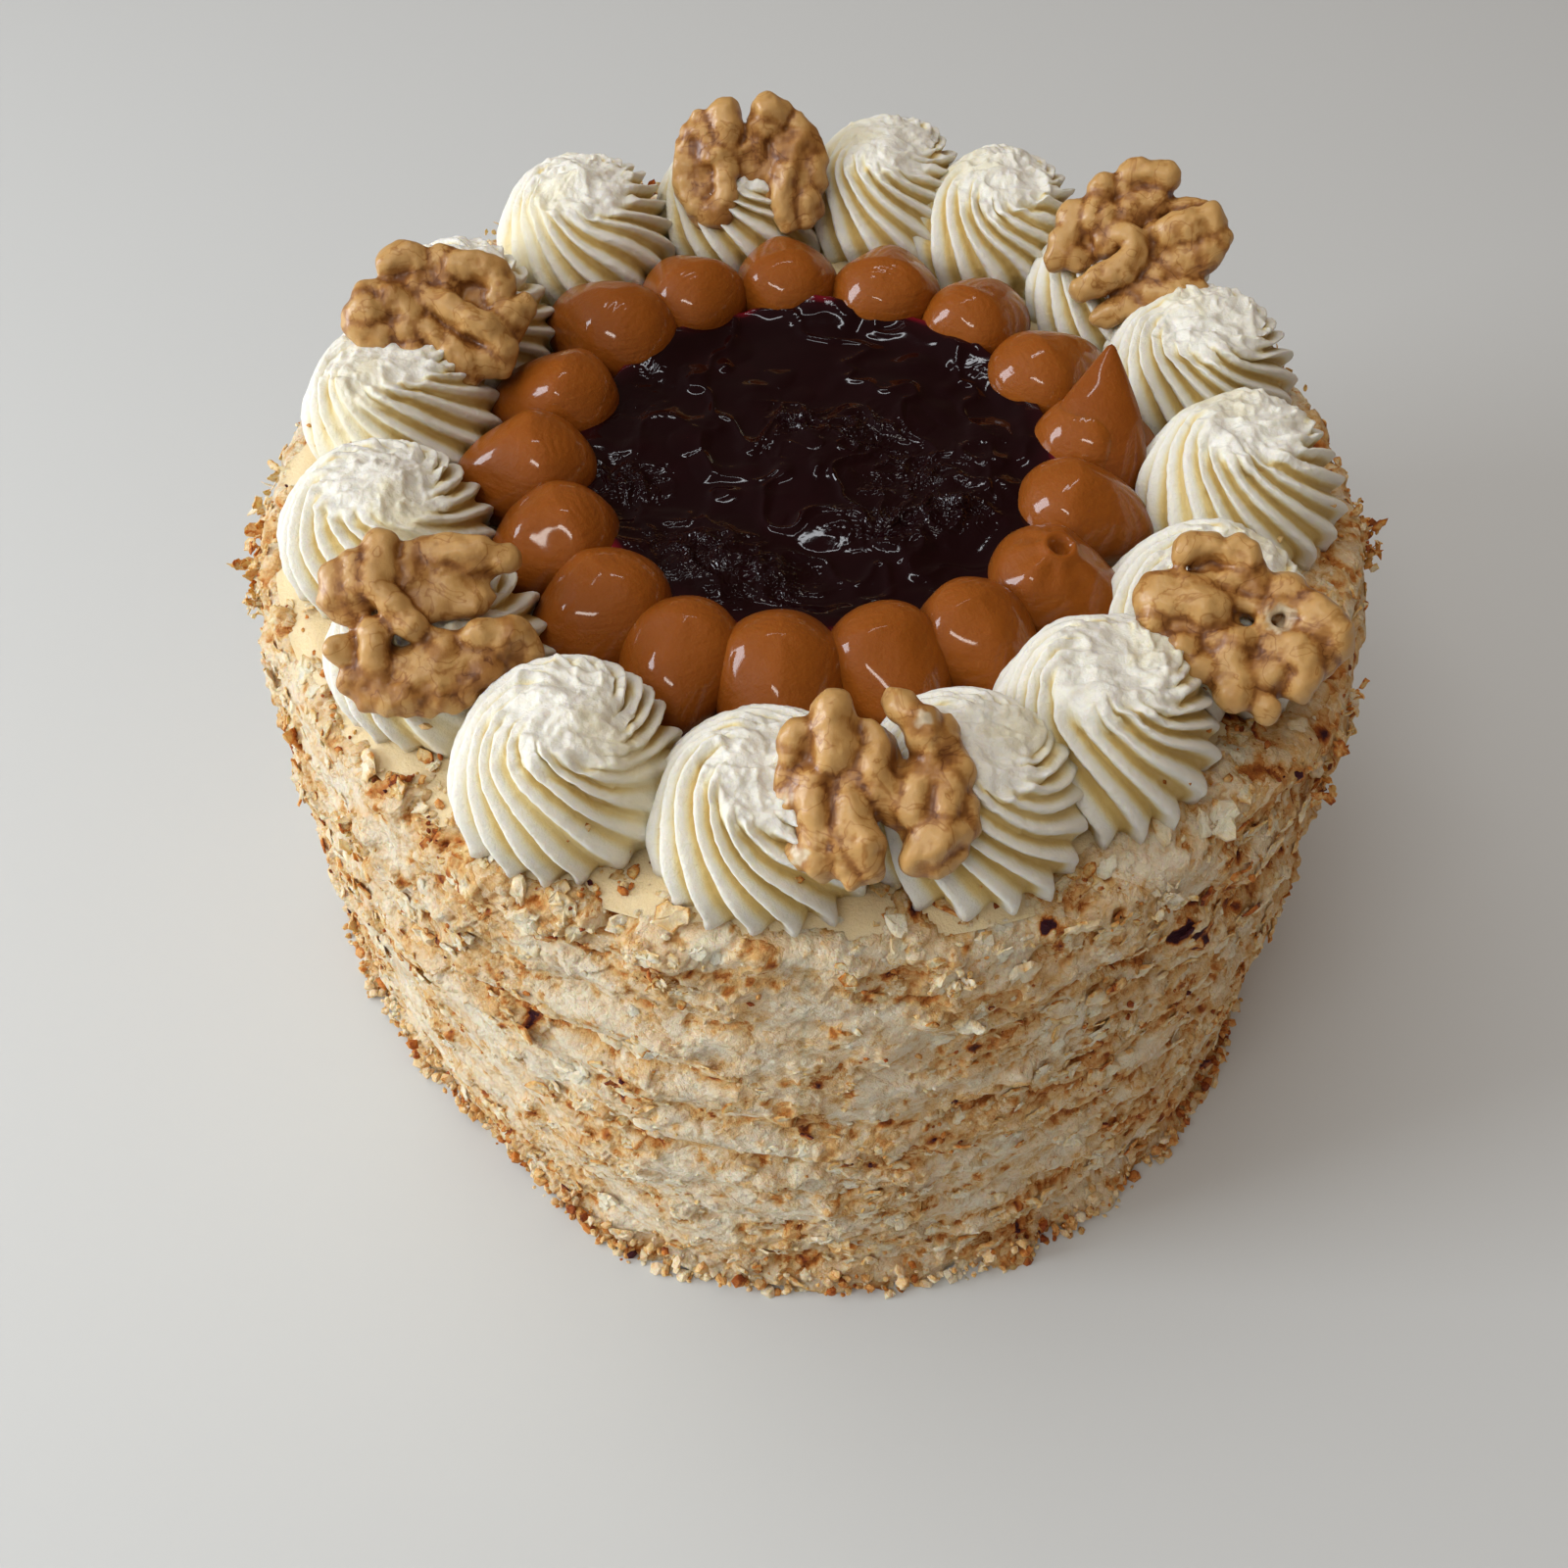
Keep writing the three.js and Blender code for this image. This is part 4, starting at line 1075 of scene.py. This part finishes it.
# A half lies in its own plane: its middle on the cake, and which way its open face looks, in plan and above
# the horizon. Points in it are millimetres across, up the slope and out of the open face, and the last
# number is a radius. Cushions are the lobes' bodies: a middle and three half sizes. Folds are the rolls on
# them. Broken places show the pale flesh.
WALNUTS = [
    {
        "at": (-15, 73, 149), "facing": 268, "lean": 40,
        "cushions": [
            (-8.5, -3, -2.2, 6, 10, 4.2), (9, -3, -2.2, 6, 9.5, 4.2), (1, -1, -2.6, 5, 7, 3.4),
        ],
        "folds": [
            [(-5.3, 7.6, 1.5, 3.3), (-4.5, 3.5, 2, 2.8)], [(-10.8, 6.6, 0.5, 1.7), (-10, 3.8, 1.5, 2.2),
            (-8.5, 1.5, 2, 1.8)], [(-12.6, 3.4, 0, 1.7)], [(-12.8, 0.3, 0.5, 2.1), (-13.2, -4, 0.8, 2.3),
            (-12, -8.5, 1.2, 2.5), (-9, -12, 1.5, 2.5), (-5.8, -12.2, 2.2, 2.7)], [(-5.5, -12, 2.2, 2.6),
            (-4.3, -8.5, 2.8, 2.4), (-4.6, -4.5, 2.8, 2.3), (-6, -1, 2.6, 2.2)], [(-8.8, -7, -0.5, 3.2)],
            [(-8.4, -1.2, 2.4, 1.4)], [(-4.9, 3.2, 2.2, 0.9), (-2, 0.6, 2, 0.9), (0.2, 2.2, 2, 1),
            (1.3, 5.4, 1.5, 1.1), (0.5, 7.6, 1, 0.9)], [(1.7, 4.4, 1.8, 1), (2.1, -1.8, 1.2, 0.9),
            (1.9, -6.2, 0, 0.8)], [(0, -1, -2, 3), (0.5, -6.5, -2.2, 3), (1, -9.5, -2.6, 2.6)],
            [(3.4, 9, 1.5, 3.2), (6.2, 8.4, 1.2, 2.6)], [(3.2, 5.6, 1.2, 2.6)], [(9.4, 6.6, 0.3, 2.3),
            (11.4, 4.6, 0.2, 2.2), (12.7, 2.8, 0, 1.7)], [(8.2, 1.5, -0.3, 3.6)], [(13.7, -1.3, 0.3, 2.4),
            (14.4, -4.3, 0.3, 2)], [(8.3, -2.9, 2.2, 2.1), (7.6, -6.6, 2.4, 2.3), (7.5, -10.6, 2.2, 2.4),
            (8.6, -13, 1.8, 2.2)], [(12, -8.5, 0.8, 3), (12.2, -11.5, 0.8, 2.4)], [(14, -9.6, 0, 1.8)],
        ],
        "broken": [],
    },
    {
        "at": (61, 46, 149), "facing": 252, "lean": 50,
        "cushions": [
            (-6, 2, -2.4, 6.5, 6.5, 4), (-1, 8.5, -2.6, 4.5, 4.5, 3), (10, 0, -2.2, 7, 7.5, 4.2),
            (4, -8, -2.6, 6.5, 4.5, 3.6),
        ],
        "folds": [
            [(-4, 10.5, 0.8, 2.4), (-3, 12.6, 1, 2.9), (0, 13.3, 1, 2.7), (3, 13.6, 0.6, 3.2)],
            [(2.6, 10.4, 0.5, 2), (0.2, 8.3, 0.5, 2.6)], [(-8.2, 8.9, 1, 3)], [(-8, 7, 2, 1.5),
            (-8.7, 4.3, 2.6, 1.5), (-8.2, 1.2, 2.6, 1.4)], [(-5.7, 4.2, 2.4, 1.4), (-5.4, -0.9, 2.4, 1.4)],
            [(-12.5, 3.1, 0.5, 2.8), (-12.4, -2.3, 0.8, 3), (-13.2, -6.2, 0.5, 2.6)],
            [(-9.3, -5.3, 0.8, 2.6)], [(-8.5, 2, -1, 3.6)], [(-6.4, -11.4, 2.5, 2.6), (-4, -9.4, 3, 2.7),
            (-1.2, -7, 3.4, 2.8), (1.3, -3.4, 3.6, 2.6), (0.9, -0.6, 3.2, 2.3), (-2, 0.3, 2.8, 2.1),
            (-3.6, -2, 2, 1.6)], [(-1.6, -15, -0.5, 1.8), (0.3, -13.9, 0, 2.4), (3.2, -12.4, 0.2, 2.4),
            (7, -12.7, 0, 2.2)], [(6.7, -9, 0.8, 2.8), (11.2, -7.7, 0.8, 3), (15.1, -6.8, 0.3, 2.4)],
            [(7.1, -5.2, 0.2, 3)], [(7, 3, 3, 2.6), (9.8, 5, 2.4, 3.2), (13.4, 6.9, 1.4, 3.4)],
            [(16.5, 3.9, 0.5, 2.4)], [(14.8, 1.3, 0.8, 3.2)], [(1.6, 6, 0, 1.4), (5.6, 8.6, -0.5, 1.4),
            (9.9, 9.9, -0.8, 1.3), (11.8, 10.2, -1, 1)], [(-1.3, 6, 0.6, 2.4)], [(-1.9, 2.8, 1.2, 2)],
            [(4, 3.4, 1.2, 1.4)], [(3.1, 0.2, 0.5, 1.8)], [(8, -1, -1.5, 3)], [(3, -3, -1.5, 3)],
        ],
        "broken": [],
    },
    {
        "at": (67, -55, 149), "facing": 255, "lean": 62,
        "cushions": [
            (-7, -1, -2.2, 7, 6, 4), (4, -6, -2.4, 6, 5.5, 3.6), (11.5, 1, -2.4, 5, 5, 4),
            (0, 6, -2.6, 7, 3.2, 3),
        ],
        "folds": [
            [(-10.2, 10.6, 2, 2.6), (-7.1, 12, 2.2, 2.4), (-4.9, 11.7, 2.2, 2.1), (-2.9, 11.9, 2.2, 2.6),
            (-1, 11.3, 1.8, 2.4)], [(-0.3, 9.3, 0.6, 2.2), (1.5, 8.7, 0.4, 2), (1.5, 7.1, 0.4, 2)],
            [(-7, 8.6, -0.6, 1.8), (-4, 8.7, -0.2, 1.5), (-1.5, 8.5, 0.2, 0.9)], [(4.9, 7, 0.8, 1.8),
            (6.8, 8.1, 0.8, 2.4), (8.5, 6.6, 0.6, 2.2)], [(-13, 1.7, 1, 3.6), (-9, 2.2, 1.4, 3.6),
            (-5.6, 1.9, 2, 3.4), (-3.3, 1, 1.6, 2.4)], [(-12.4, -2.5, 1, 2.4)], [(-14.2, 4.8, 0.5, 1.1),
            (-9.7, 5.5, 1.8, 1.2), (-4.8, 6.3, 1.8, 1.2), (-0.5, 7.1, 1.5, 1.2), (2.1, 5.9, 1.2, 1.2)],
            [(-3.5, 4.6, 1.6, 1.1), (0.9, 3.8, 1.4, 1.1), (4.2, 4.5, 1.2, 1)], [(-13.4, -4.2, 0, 1.8)],
            [(-10.6, -6.1, 0.4, 1.9)], [(-7.7, -5.4, 1.4, 2.7)], [(-4.1, -7.9, 1.2, 2.4)],
            [(-2.7, -3.2, 2, 1.4)], [(1, -2.3, 1.8, 2.4)], [(0.5, -5.3, 1.2, 3), (1.3, -8.4, 1.4, 2.4),
            (1.7, -10.8, 1.8, 2.8)], [(-1.5, -9, 1, 1.4)], [(6.5, -6.4, 1.2, 2.8)], [(5.3, -10.4, 0.8, 1.6),
            (7.4, -12, 0.8, 2.2)], [(6.3, -2.5, 1.6, 2), (9.8, -2.5, 2, 2.8), (11.6, -4.4, 1.6, 2.8),
            (11.6, -7.6, 0.8, 2.4)], [(11.6, 4.6, 1.4, 3.4), (14, 2.9, 1, 3.6), (15.8, 0.9, 0.4, 3)],
            [(13.3, -0.6, 0.2, 3), (14.1, -2.9, 0, 2.2)], [(8.9, 2.2, 1.6, 0.8), (8, 4.2, 1.6, 0.8),
            (6.3, 4.9, 1.8, 0.8), (4.4, 4, 1.8, 0.8), (3.7, 2.2, 1.8, 0.8), (4.6, 0.3, 1.8, 0.9),
            (6.6, -0.3, 1.6, 0.8)],
        ],
        "broken": [(6.3, 2.2, 2.2, 3)],
    },
    {
        "at": (9, -88, 148.5), "facing": 264, "lean": 62,
        "cushions": [
            (-7, -2, -2.2, 5.4, 10, 4), (8.8, 0, -2.2, 5, 9, 4.2), (0, 3, -2.6, 4.5, 6, 3),
        ],
        "folds": [
            [(-7.5, 10.2, 1.8, 3.4), (-6.1, 3.6, 2.2, 3.2)], [(-11.9, 6.3, 1, 2.8)], [(-12.7, 3.3, 0.6, 2)],
            [(-13.3, 0, 0.2, 1.7)], [(-9.5, -0.5, 1.4, 2.6), (-8, -4.5, 1.6, 2.8), (-7.5, -9, 1.2, 2.8),
            (-6.5, -12.5, 0.8, 2.2)], [(-12.3, -3, 0.2, 1.8)], [(-9.5, -11, 0.2, 2.2)], [(-3.8, -1, 2, 2.2),
            (-3, -5, 2.4, 2.8), (-0.8, -8.5, 2, 3.2), (0.5, -11.5, 1.2, 2.4)], [(-4.8, -8.4, 2.6, 1.1),
            (-3.4, -11.9, 2.4, 1.1), (-1.6, -14.4, 1.8, 1.1)], [(-1.5, 8.5, 1, 1.4), (0, 5.5, 1.8, 2),
            (-0.5, 2, 2.2, 2.6), (2, -1, 1.6, 2), (3.2, -3.5, 0.8, 1.2)], [(-3, 1.5, 2, 1.6)],
            [(2.4, 12.6, 1.2, 2.6), (4.2, 11.2, 2, 2.5), (6.2, 8, 1.8, 2.6)], [(5.9, 10.3, 3, 2.2)],
            [(6.9, 5.5, 1.6, 0.9), (7, 3, 1.6, 0.8)], [(9.4, 9.5, 0, 2.7)], [(10, 6, 0, 2.6),
            (12.3, 3.6, 0.4, 2.6)], [(6.3, 0.3, 2.2, 1.9), (6.2, -3, 2.2, 2.1)], [(10.6, 1.3, 1.8, 2),
            (10.9, -2, 1.8, 2.2)], [(13.9, -1.7, 0.4, 1.9), (15, -4.4, 0, 1.5)], [(7.2, -10, 1.2, 2.4),
            (9.6, -6.7, 1.8, 2.7), (12.6, -4.8, 1.2, 2.4)], [(7.8, -10.6, 0.6, 1.4),
            (10.7, -10.6, 0.4, 1.3), (13.6, -8.4, 0, 1.3)], [(8, 2, -1.2, 3.6)],
        ],
        "broken": [(-12.3, -2.9, 1.2, 1.7), (-9, -11.2, 1.6, 2.2), (5.9, 10.3, 5, 1.4)],
    },
    {
        "at": (-62, -57, 148.5), "facing": 285, "lean": 62,
        "cushions": [
            (-0.5, 7.5, -2.2, 12, 4.2, 3.8), (0.5, -8.5, -2.4, 13, 5, 4.2), (3, 2.5, -0.8, 8.5, 3.6, 2.2),
            (1.5, -9, -0.6, 9, 3.8, 2.4),
        ],
        "folds": [
            [(-13, 8.5, 0.8, 2.6), (-13.3, 5, 0.8, 2.4), (-12, 3, 0.8, 1.9)], [(-9.3, 10.5, 1.2, 2.5),
            (-10, 6.5, 1.6, 2.6), (-10, 3.5, 1.4, 2.1)], [(-4.9, 12.6, 1.8, 2.6), (-5.9, 8.9, 2.6, 2.4),
            (-6.5, 5.4, 3, 2.3), (-4.7, 2.2, 3.6, 2.3), (-2.6, -1.5, 4, 2)], [(-0.5, 10.8, 1.2, 1.6),
            (-0.9, 7.6, 1.8, 1.4)], [(1.9, 11.8, 0.8, 1.3)], [(2.5, 10.3, 1.4, 1.9), (6.2, 10, 1.8, 2.5),
            (10, 8.5, 1.8, 2.6), (13.9, 7.5, 1.2, 2.5)], [(-8.5, -2, 2.4, 2.9), (-8.8, -5.6, 2, 2.1)],
            [(-13.8, -2.9, 0.8, 2.7)], [(-13.2, -7.7, 0, 2)], [(-10.4, -10.7, 0.2, 2.3)],
            [(-8.1, -12.2, 0.4, 2.4)], [(-4.8, -12.1, 0.8, 2.5)], [(-1.6, -13, 0.6, 2.4)],
            [(1, -13.8, 0.4, 2.1)], [(4.3, -12.3, 0.6, 2.5)], [(7.7, -10.4, 0.6, 2.7)], [(13, -5.6, 1, 3.2),
            (14.6, -8, 0.2, 2.2)], [(7, -4.6, 2.6, 2.3), (10.4, -5.2, 2.6, 2.3)], [(2, -4, 2.2, 1.6),
            (1.5, -6.2, 2.2, 1.9)], [(-1.5, -6.6, 1.4, 1)], [(-9, -7, -1, 3.5)],
        ],
        "broken": [],
    },
    {
        "at": (-71, 18, 148.5), "facing": 285, "lean": 55,
        "cushions": [
            (-11, 1, -2.2, 5, 5, 3.8), (-1, 6, -2.6, 6.5, 6, 3.4), (9, 3, -2.6, 5.5, 6, 3.4),
            (3, -5, -2.6, 7.5, 5, 3.4),
        ],
        "folds": [
            [(-12.4, 6, 1, 2.6), (-9.6, 5.2, 1.4, 2.5)], [(-12.4, 2.8, 1.4, 3.6)], [(-14.2, -1.3, 0.6, 2.7),
            (-11.5, -1.7, 1.2, 2.7)], [(-15.7, 1.8, 0.2, 2.1)], [(-7, 3.8, 1.6, 3), (-5.1, 1, 1.6, 2.5)],
            [(-6.7, -2.3, 2, 2.1)], [(-8.5, -6.3, 0.8, 2.4), (-5.6, -6, 1, 2.3)], [(-3, -2.1, 1.6, 2.2),
            (-0.6, -5, 1.6, 2.5), (2.1, -7.8, 1.4, 2.7), (5.6, -9.4, 1.2, 2.7), (9.4, -10.3, 0.6, 2.3)],
            [(-0.5, -10, 0.4, 2), (3.1, -12.2, 0, 1.7)], [(-1.3, 4.4, 1.8, 1.7), (0.1, 2.8, 2.4, 2.3),
            (2.4, 0.3, 3, 2.5), (5.6, -1.9, 3.2, 2.8), (8.6, -4.5, 2.8, 2.8), (10.2, -7.5, 1.8, 2.6)],
            [(-7.9, 8.9, 0.4, 1.9), (-6.7, 10.9, 0.8, 2.8), (-4.8, 11.8, 1, 3), (-2.4, 11.4, 1, 2.8)],
            [(-4.2, 5.9, 0.6, 2.4)], [(2.3, 10.7, 1.2, 2.4), (1.5, 8, 1, 1.9)], [(4.8, 8.9, 1.6, 2.6),
            (7.8, 8.2, 1.8, 2.9), (11, 6.6, 1.6, 2.9), (12.2, 3.6, 1.4, 2.7), (11.1, 0.9, 1.2, 2.4),
            (13, -1.5, 1.2, 2.8), (15.7, -0.4, 0.8, 2.6)], [(2.1, 5.8, 0.2, 2.6)], [(12.2, -4.2, 0.4, 1.9)],
        ],
        "broken": [],
    },
]
WALNUT_STEP = 0.40
WALNUT_REACH = np.array([20.0, 18.0, 9.5])
CUSHION_LIFT = 1.3
CUSHION_JOINT = 2.5
FOLD_GROWTH = 0.15
FOLD_JOINT = 1.8
FOLD_MARGIN = 2.2
FAR_OFF = 99.0


def soft_union(first, second, width):
    """The nearer of two distances, rounded where they differ by less than width: min − h²·width/4, with h
    the share of the width that is left."""
    left = np.clip(width - np.abs(first - second), 0, None) / width
    return np.minimum(first, second) - left * left * width / 4


def roll_distance(places, path):
    """The distance to a roll that follows a path of points with radii: the least, over its segments, of the
    distance to the nearest point of the segment less the radius there."""
    best = np.full(places.shape[:-1], FAR_OFF)
    for start, end in zip(path[:-1], path[1:]):
        way = end[:3] - start[:3]
        length = max(way @ way, 1e-9)
        share = np.clip((places - start[:3]) @ way / length, 0, 1)
        away = np.linalg.norm(places - start[:3] - share[..., None] * way, axis=-1)
        best = np.minimum(best, away - start[3] - share * (end[3] - start[3]))
    return best


def surface_net(field, origin, step):
    """The skin where a field on a grid passes zero: one point in each cell that it crosses, at the mean of
    the crossings on the cell's edges, and one quad round each crossed edge."""
    cells = np.array(field.shape) - 1
    total = np.zeros((*cells, 3))
    count = np.zeros(cells)
    crossings = []
    for axis in range(3):
        lower = np.moveaxis(field, axis, 0)[:-1]
        upper = np.moveaxis(field, axis, 0)[1:]
        crossed = (lower < 0) != (upper < 0)
        share = np.where(crossed, lower / np.where(crossed, lower - upper, 1), 0)
        crossings.append((crossed, lower < 0))
        side_axes = [other for other in range(3) if other != axis]
        for shift in np.ndindex(2, 2):
            window = (slice(None),) + tuple(slice(s, s + cells[a]) for s, a in zip(shift, side_axes))
            part = np.moveaxis(crossed[window], 0, axis)
            count += part
            total[..., axis] += np.moveaxis(share[window], 0, axis) * part
            for s, a in zip(shift, side_axes):
                total[..., a] += s * part
    used = count > 0
    number = np.full(cells, -1)
    number[used] = np.arange(used.sum())
    points = (np.argwhere(used) + total[used] / count[used][:, None]) * step + origin
    quads = []
    for axis, (crossed, inside) in enumerate(crossings):
        order = [axis, (axis + 1) % 3, (axis + 2) % 3]
        rest = [other for other in range(3) if other != axis]
        swap = rest != order[1:]
        crossed = np.swapaxes(crossed, 1, 2) if swap else crossed
        inside = np.swapaxes(inside, 1, 2) if swap else inside
        table = np.transpose(number, order)
        i, j, k = np.nonzero(crossed[:, 1:-1, 1:-1])
        j = j + 1
        k = k + 1
        quad = np.stack([table[i, j - 1, k - 1], table[i, j, k - 1], table[i, j, k], table[i, j - 1, k]], -1)
        outward = inside[i, j, k]
        quads.append(np.where(outward[:, None], quad, quad[:, ::-1]))
    return points, np.concatenate(quads)


def walnut_piece(place):
    """A walnut half as the skin of a field of distances: the cushions and the folds on them, joined with
    tight creases between, and the skin's own unevenness added as noise. Painted shade in the creases is
    darkest where the nearest two folds are equally near, and also lies in hollows and low down."""
    half = WALNUTS[place]
    counts = (2 * WALNUT_REACH / WALNUT_STEP).astype(int)
    axes = [np.arange(count) * WALNUT_STEP - reach for count, reach in zip(counts, WALNUT_REACH)]
    places = np.stack(np.meshgrid(*axes, indexing="ij"), -1)
    field = np.full(places.shape[:-1], FAR_OFF)
    for cushion in half["cushions"]:
        middle, sizes = np.array(cushion[:3], float), np.array(cushion[3:])
        middle[2] += CUSHION_LIFT
        distance = (np.linalg.norm((places - middle) / sizes, axis=-1) - 1) * sizes.min()
        field = soft_union(field, distance, CUSHION_JOINT)
    field += 0.6 * soft_noise(places / 4.2 + 13 * place, 501)
    nearest = field.copy()
    second = np.full(field.shape, FAR_OFF)
    for fold in half["folds"]:
        path = smooth_path(fold, 5)
        path[:, 3] += FOLD_GROWTH
        low = (path[:, :3] - path[:, 3:]).min(0) - FOLD_MARGIN
        high = (path[:, :3] + path[:, 3:]).max(0) + FOLD_MARGIN
        window = tuple(
            slice(*np.searchsorted(axis, (start, end))) for axis, start, end in zip(axes, low, high)
        )
        swelling = 0.55 * soft_noise(places[window] / 2.7 + 31 * place, 502)
        roll = roll_distance(places[window], path) + swelling
        field[window] = soft_union(field[window], roll, FOLD_JOINT)
        second[window] = np.minimum(second[window], np.maximum(nearest[window], roll))
        nearest[window] = np.minimum(nearest[window], roll)
    field += 0.22 * soft_noise(places / 1.9 + 7 * place, 506) + 0.12 * soft_noise(places, 503)
    hollow = blurred(blurred(field, 2), 2) - field
    points, quads = surface_net(field, -WALNUT_REACH, WALNUT_STEP)
    cell = np.clip(((points + WALNUT_REACH) / WALNUT_STEP).round().astype(int), 0, counts - 1)
    at_cell = tuple(cell.T)
    # Painted shade: darkest between two folds, in hollows and towards the bottom of the half.
    between = smooth_step(1.3, 0.0, (second - nearest)[at_cell])
    crease_shade = 0.5 * between + np.clip(0.15 - hollow[at_cell] / 0.45, 0, 0.4)
    crease_shade = crease_shade + 0.3 * smooth_step(0.0, -3.0, points[:, 2])
    pale = np.zeros(len(points))
    for *middle, radius in half["broken"]:
        away = np.linalg.norm(points - np.array(middle), axis=-1) + 0.7 * soft_noise(points / 0.9, 504)
        pale = np.maximum(pale, smooth_step(radius, radius - 0.7, away))
    pale = pale * np.clip(1.2 - crease_shade, 0, 1)
    points[:, 2] += pale * 0.25 * soft_noise(points / 0.6, 505)

    turn, lean = np.radians(half["facing"]), np.radians(half["lean"])
    normal = around_axis(np.cos(lean), turn, np.sin(lean))
    slope = np.array([0, 0, 1]) - normal[2] * normal
    slope /= np.linalg.norm(slope)
    across = np.cross(slope, normal)
    placed = points @ np.stack([across, slope, normal]) + np.array(half["at"])
    values = {"crease_shade": crease_shade, "pale": pale}
    return new_piece(f"walnut_half_{place + 1}", placed, [quads], walnut_skin, values)


for place in range(len(WALNUTS)):
    settle(walnut_piece(place), "walnut", f"walnut_{place + 1}")


# Floor, light and camera

# Each light: its place, the height on the cake's axis that it is aimed at, its size, power and colour, and
# the kind of light that it doesn't give, where there is one
LIGHTS = {
    "window": ((-1.18, -0.30, 0.45), 0.10, (0.42, 0.9), 12, (0.95, 0.98, 1.0), "visible_glossy"),
    "window_pane": ((-1.15, 0.10, 0.45), 0.13, (0.34, 0.9), 12, (0.85, 0.92, 1.0), "visible_diffuse"),
    "lamp": ((-0.38, -0.66, 1.20), 0.13, (0.54, 0.09), 2.5, (1.0, 0.96, 0.88), None),
    "far_lamp": ((-0.16, 0.38, 1.20), 0.13, (0.5, 0.05), 0.9, (0.92, 0.96, 1.0), "visible_diffuse"),
    "ceiling": ((-0.50, 0.10, 1.35), 0.10, (1.2, 1.2), 8, (1.0, 0.98, 0.95), "visible_glossy"),
}
WAY_TO_WINDOW = (-0.87, -0.45, -0.18)
FLOOR_HALF = 4000.0
SENSOR_WIDTH = 36
NEAR_CLIP = 0.01


def floor_piece():
    """A plain pale floor."""
    material, tree = blank_material("pale_floor")
    close_material(tree, (0.61, 0.645, 0.665, 1), 0.6, 0.2)
    points = FLOOR_HALF * np.array([[-1, -1, 0], [1, -1, 0], [1, 1, 0], [-1, 1, 0]])
    new_piece("floor", points, [np.array([[0, 1, 2, 3]])], material)


def area_light(name, place, aim, size, power, colour, unseen):
    """A soft rectangular light, aimed at a height on the cake's axis."""
    lamp = bpy.data.lights.new(name, "AREA")
    lamp.shape = "RECTANGLE"
    lamp.size, lamp.size_y = size
    lamp.energy = power
    lamp.color = colour
    holder = bpy.data.objects.new(name, lamp)
    bpy.context.scene.collection.objects.link(holder)
    holder.location = place
    holder.rotation_euler = (Vector((0, 0, aim)) - Vector(place)).to_track_quat("-Z", "Y").to_euler()
    if unseen:
        setattr(holder, unseen, False)


def room():
    """The room's own light: bright and cool towards the window, at the left and in front, dim and warm at the
    far right. Gloss mirrors a darker room."""
    world = bpy.data.worlds.new("room")
    world.use_nodes = True
    tree = world.node_tree
    way = shader_node(tree, "ShaderNodeTexCoord").outputs["Generated"]
    turned = vector_maths(tree, "DOT_PRODUCT", way, WAY_TO_WINDOW, "Value")
    inputs = {"Value": turned, "From Min": -0.75, "From Max": 0.95, "To Min": 0.0, "To Max": 1.0}
    glow = shader_node(tree, "ShaderNodeMapRange", inputs).outputs["Result"]
    mirrored = shader_node(tree, "ShaderNodeLightPath").outputs["Is Glossy Ray"]
    strength = maths(tree, "MULTIPLY", plus(tree, 0.20, glow, 0.40), plus(tree, 1.0, mirrored, -0.65))
    colour = blend_colours(tree, maths(tree, "POWER", glow, 0.6), (1.0, 0.63, 0.36, 1), (0.84, 0.86, 0.87, 1))
    tree.links.new(colour, tree.nodes["Background"].inputs["Color"])
    tree.links.new(strength, tree.nodes["Background"].inputs["Strength"])
    return world


def camera():
    """The photograph's camera: level heading, pitched down and rolled a little about its own axis."""
    ahead = Vector((0, np.cos(CAMERA_PITCH), -np.sin(CAMERA_PITCH)))
    right = Vector((1, 0, 0))
    up = right.cross(ahead)
    turned_right = np.cos(CAMERA_ROLL) * right + np.sin(CAMERA_ROLL) * up
    turned_up = np.cos(CAMERA_ROLL) * up - np.sin(CAMERA_ROLL) * right
    data = bpy.data.cameras.new("camera")
    data.sensor_width = SENSOR_WIDTH
    data.lens = SENSOR_WIDTH * FOCAL_PIXELS / IMAGE_PIXELS
    data.clip_start = NEAR_CLIP
    holder = bpy.data.objects.new("camera", data)
    bpy.context.scene.collection.objects.link(holder)
    turning = Matrix((turned_right, turned_up, -ahead)).transposed()
    holder.matrix_world = Matrix.Translation(MM * Vector(CAMERA_PLACE)) @ turning.to_4x4()
    bpy.context.scene.camera = holder


floor_piece()
for name, settings in LIGHTS.items():
    area_light(name, *settings)
bpy.context.scene.world = room()
bpy.context.scene.view_settings.view_transform = "Standard"
camera()
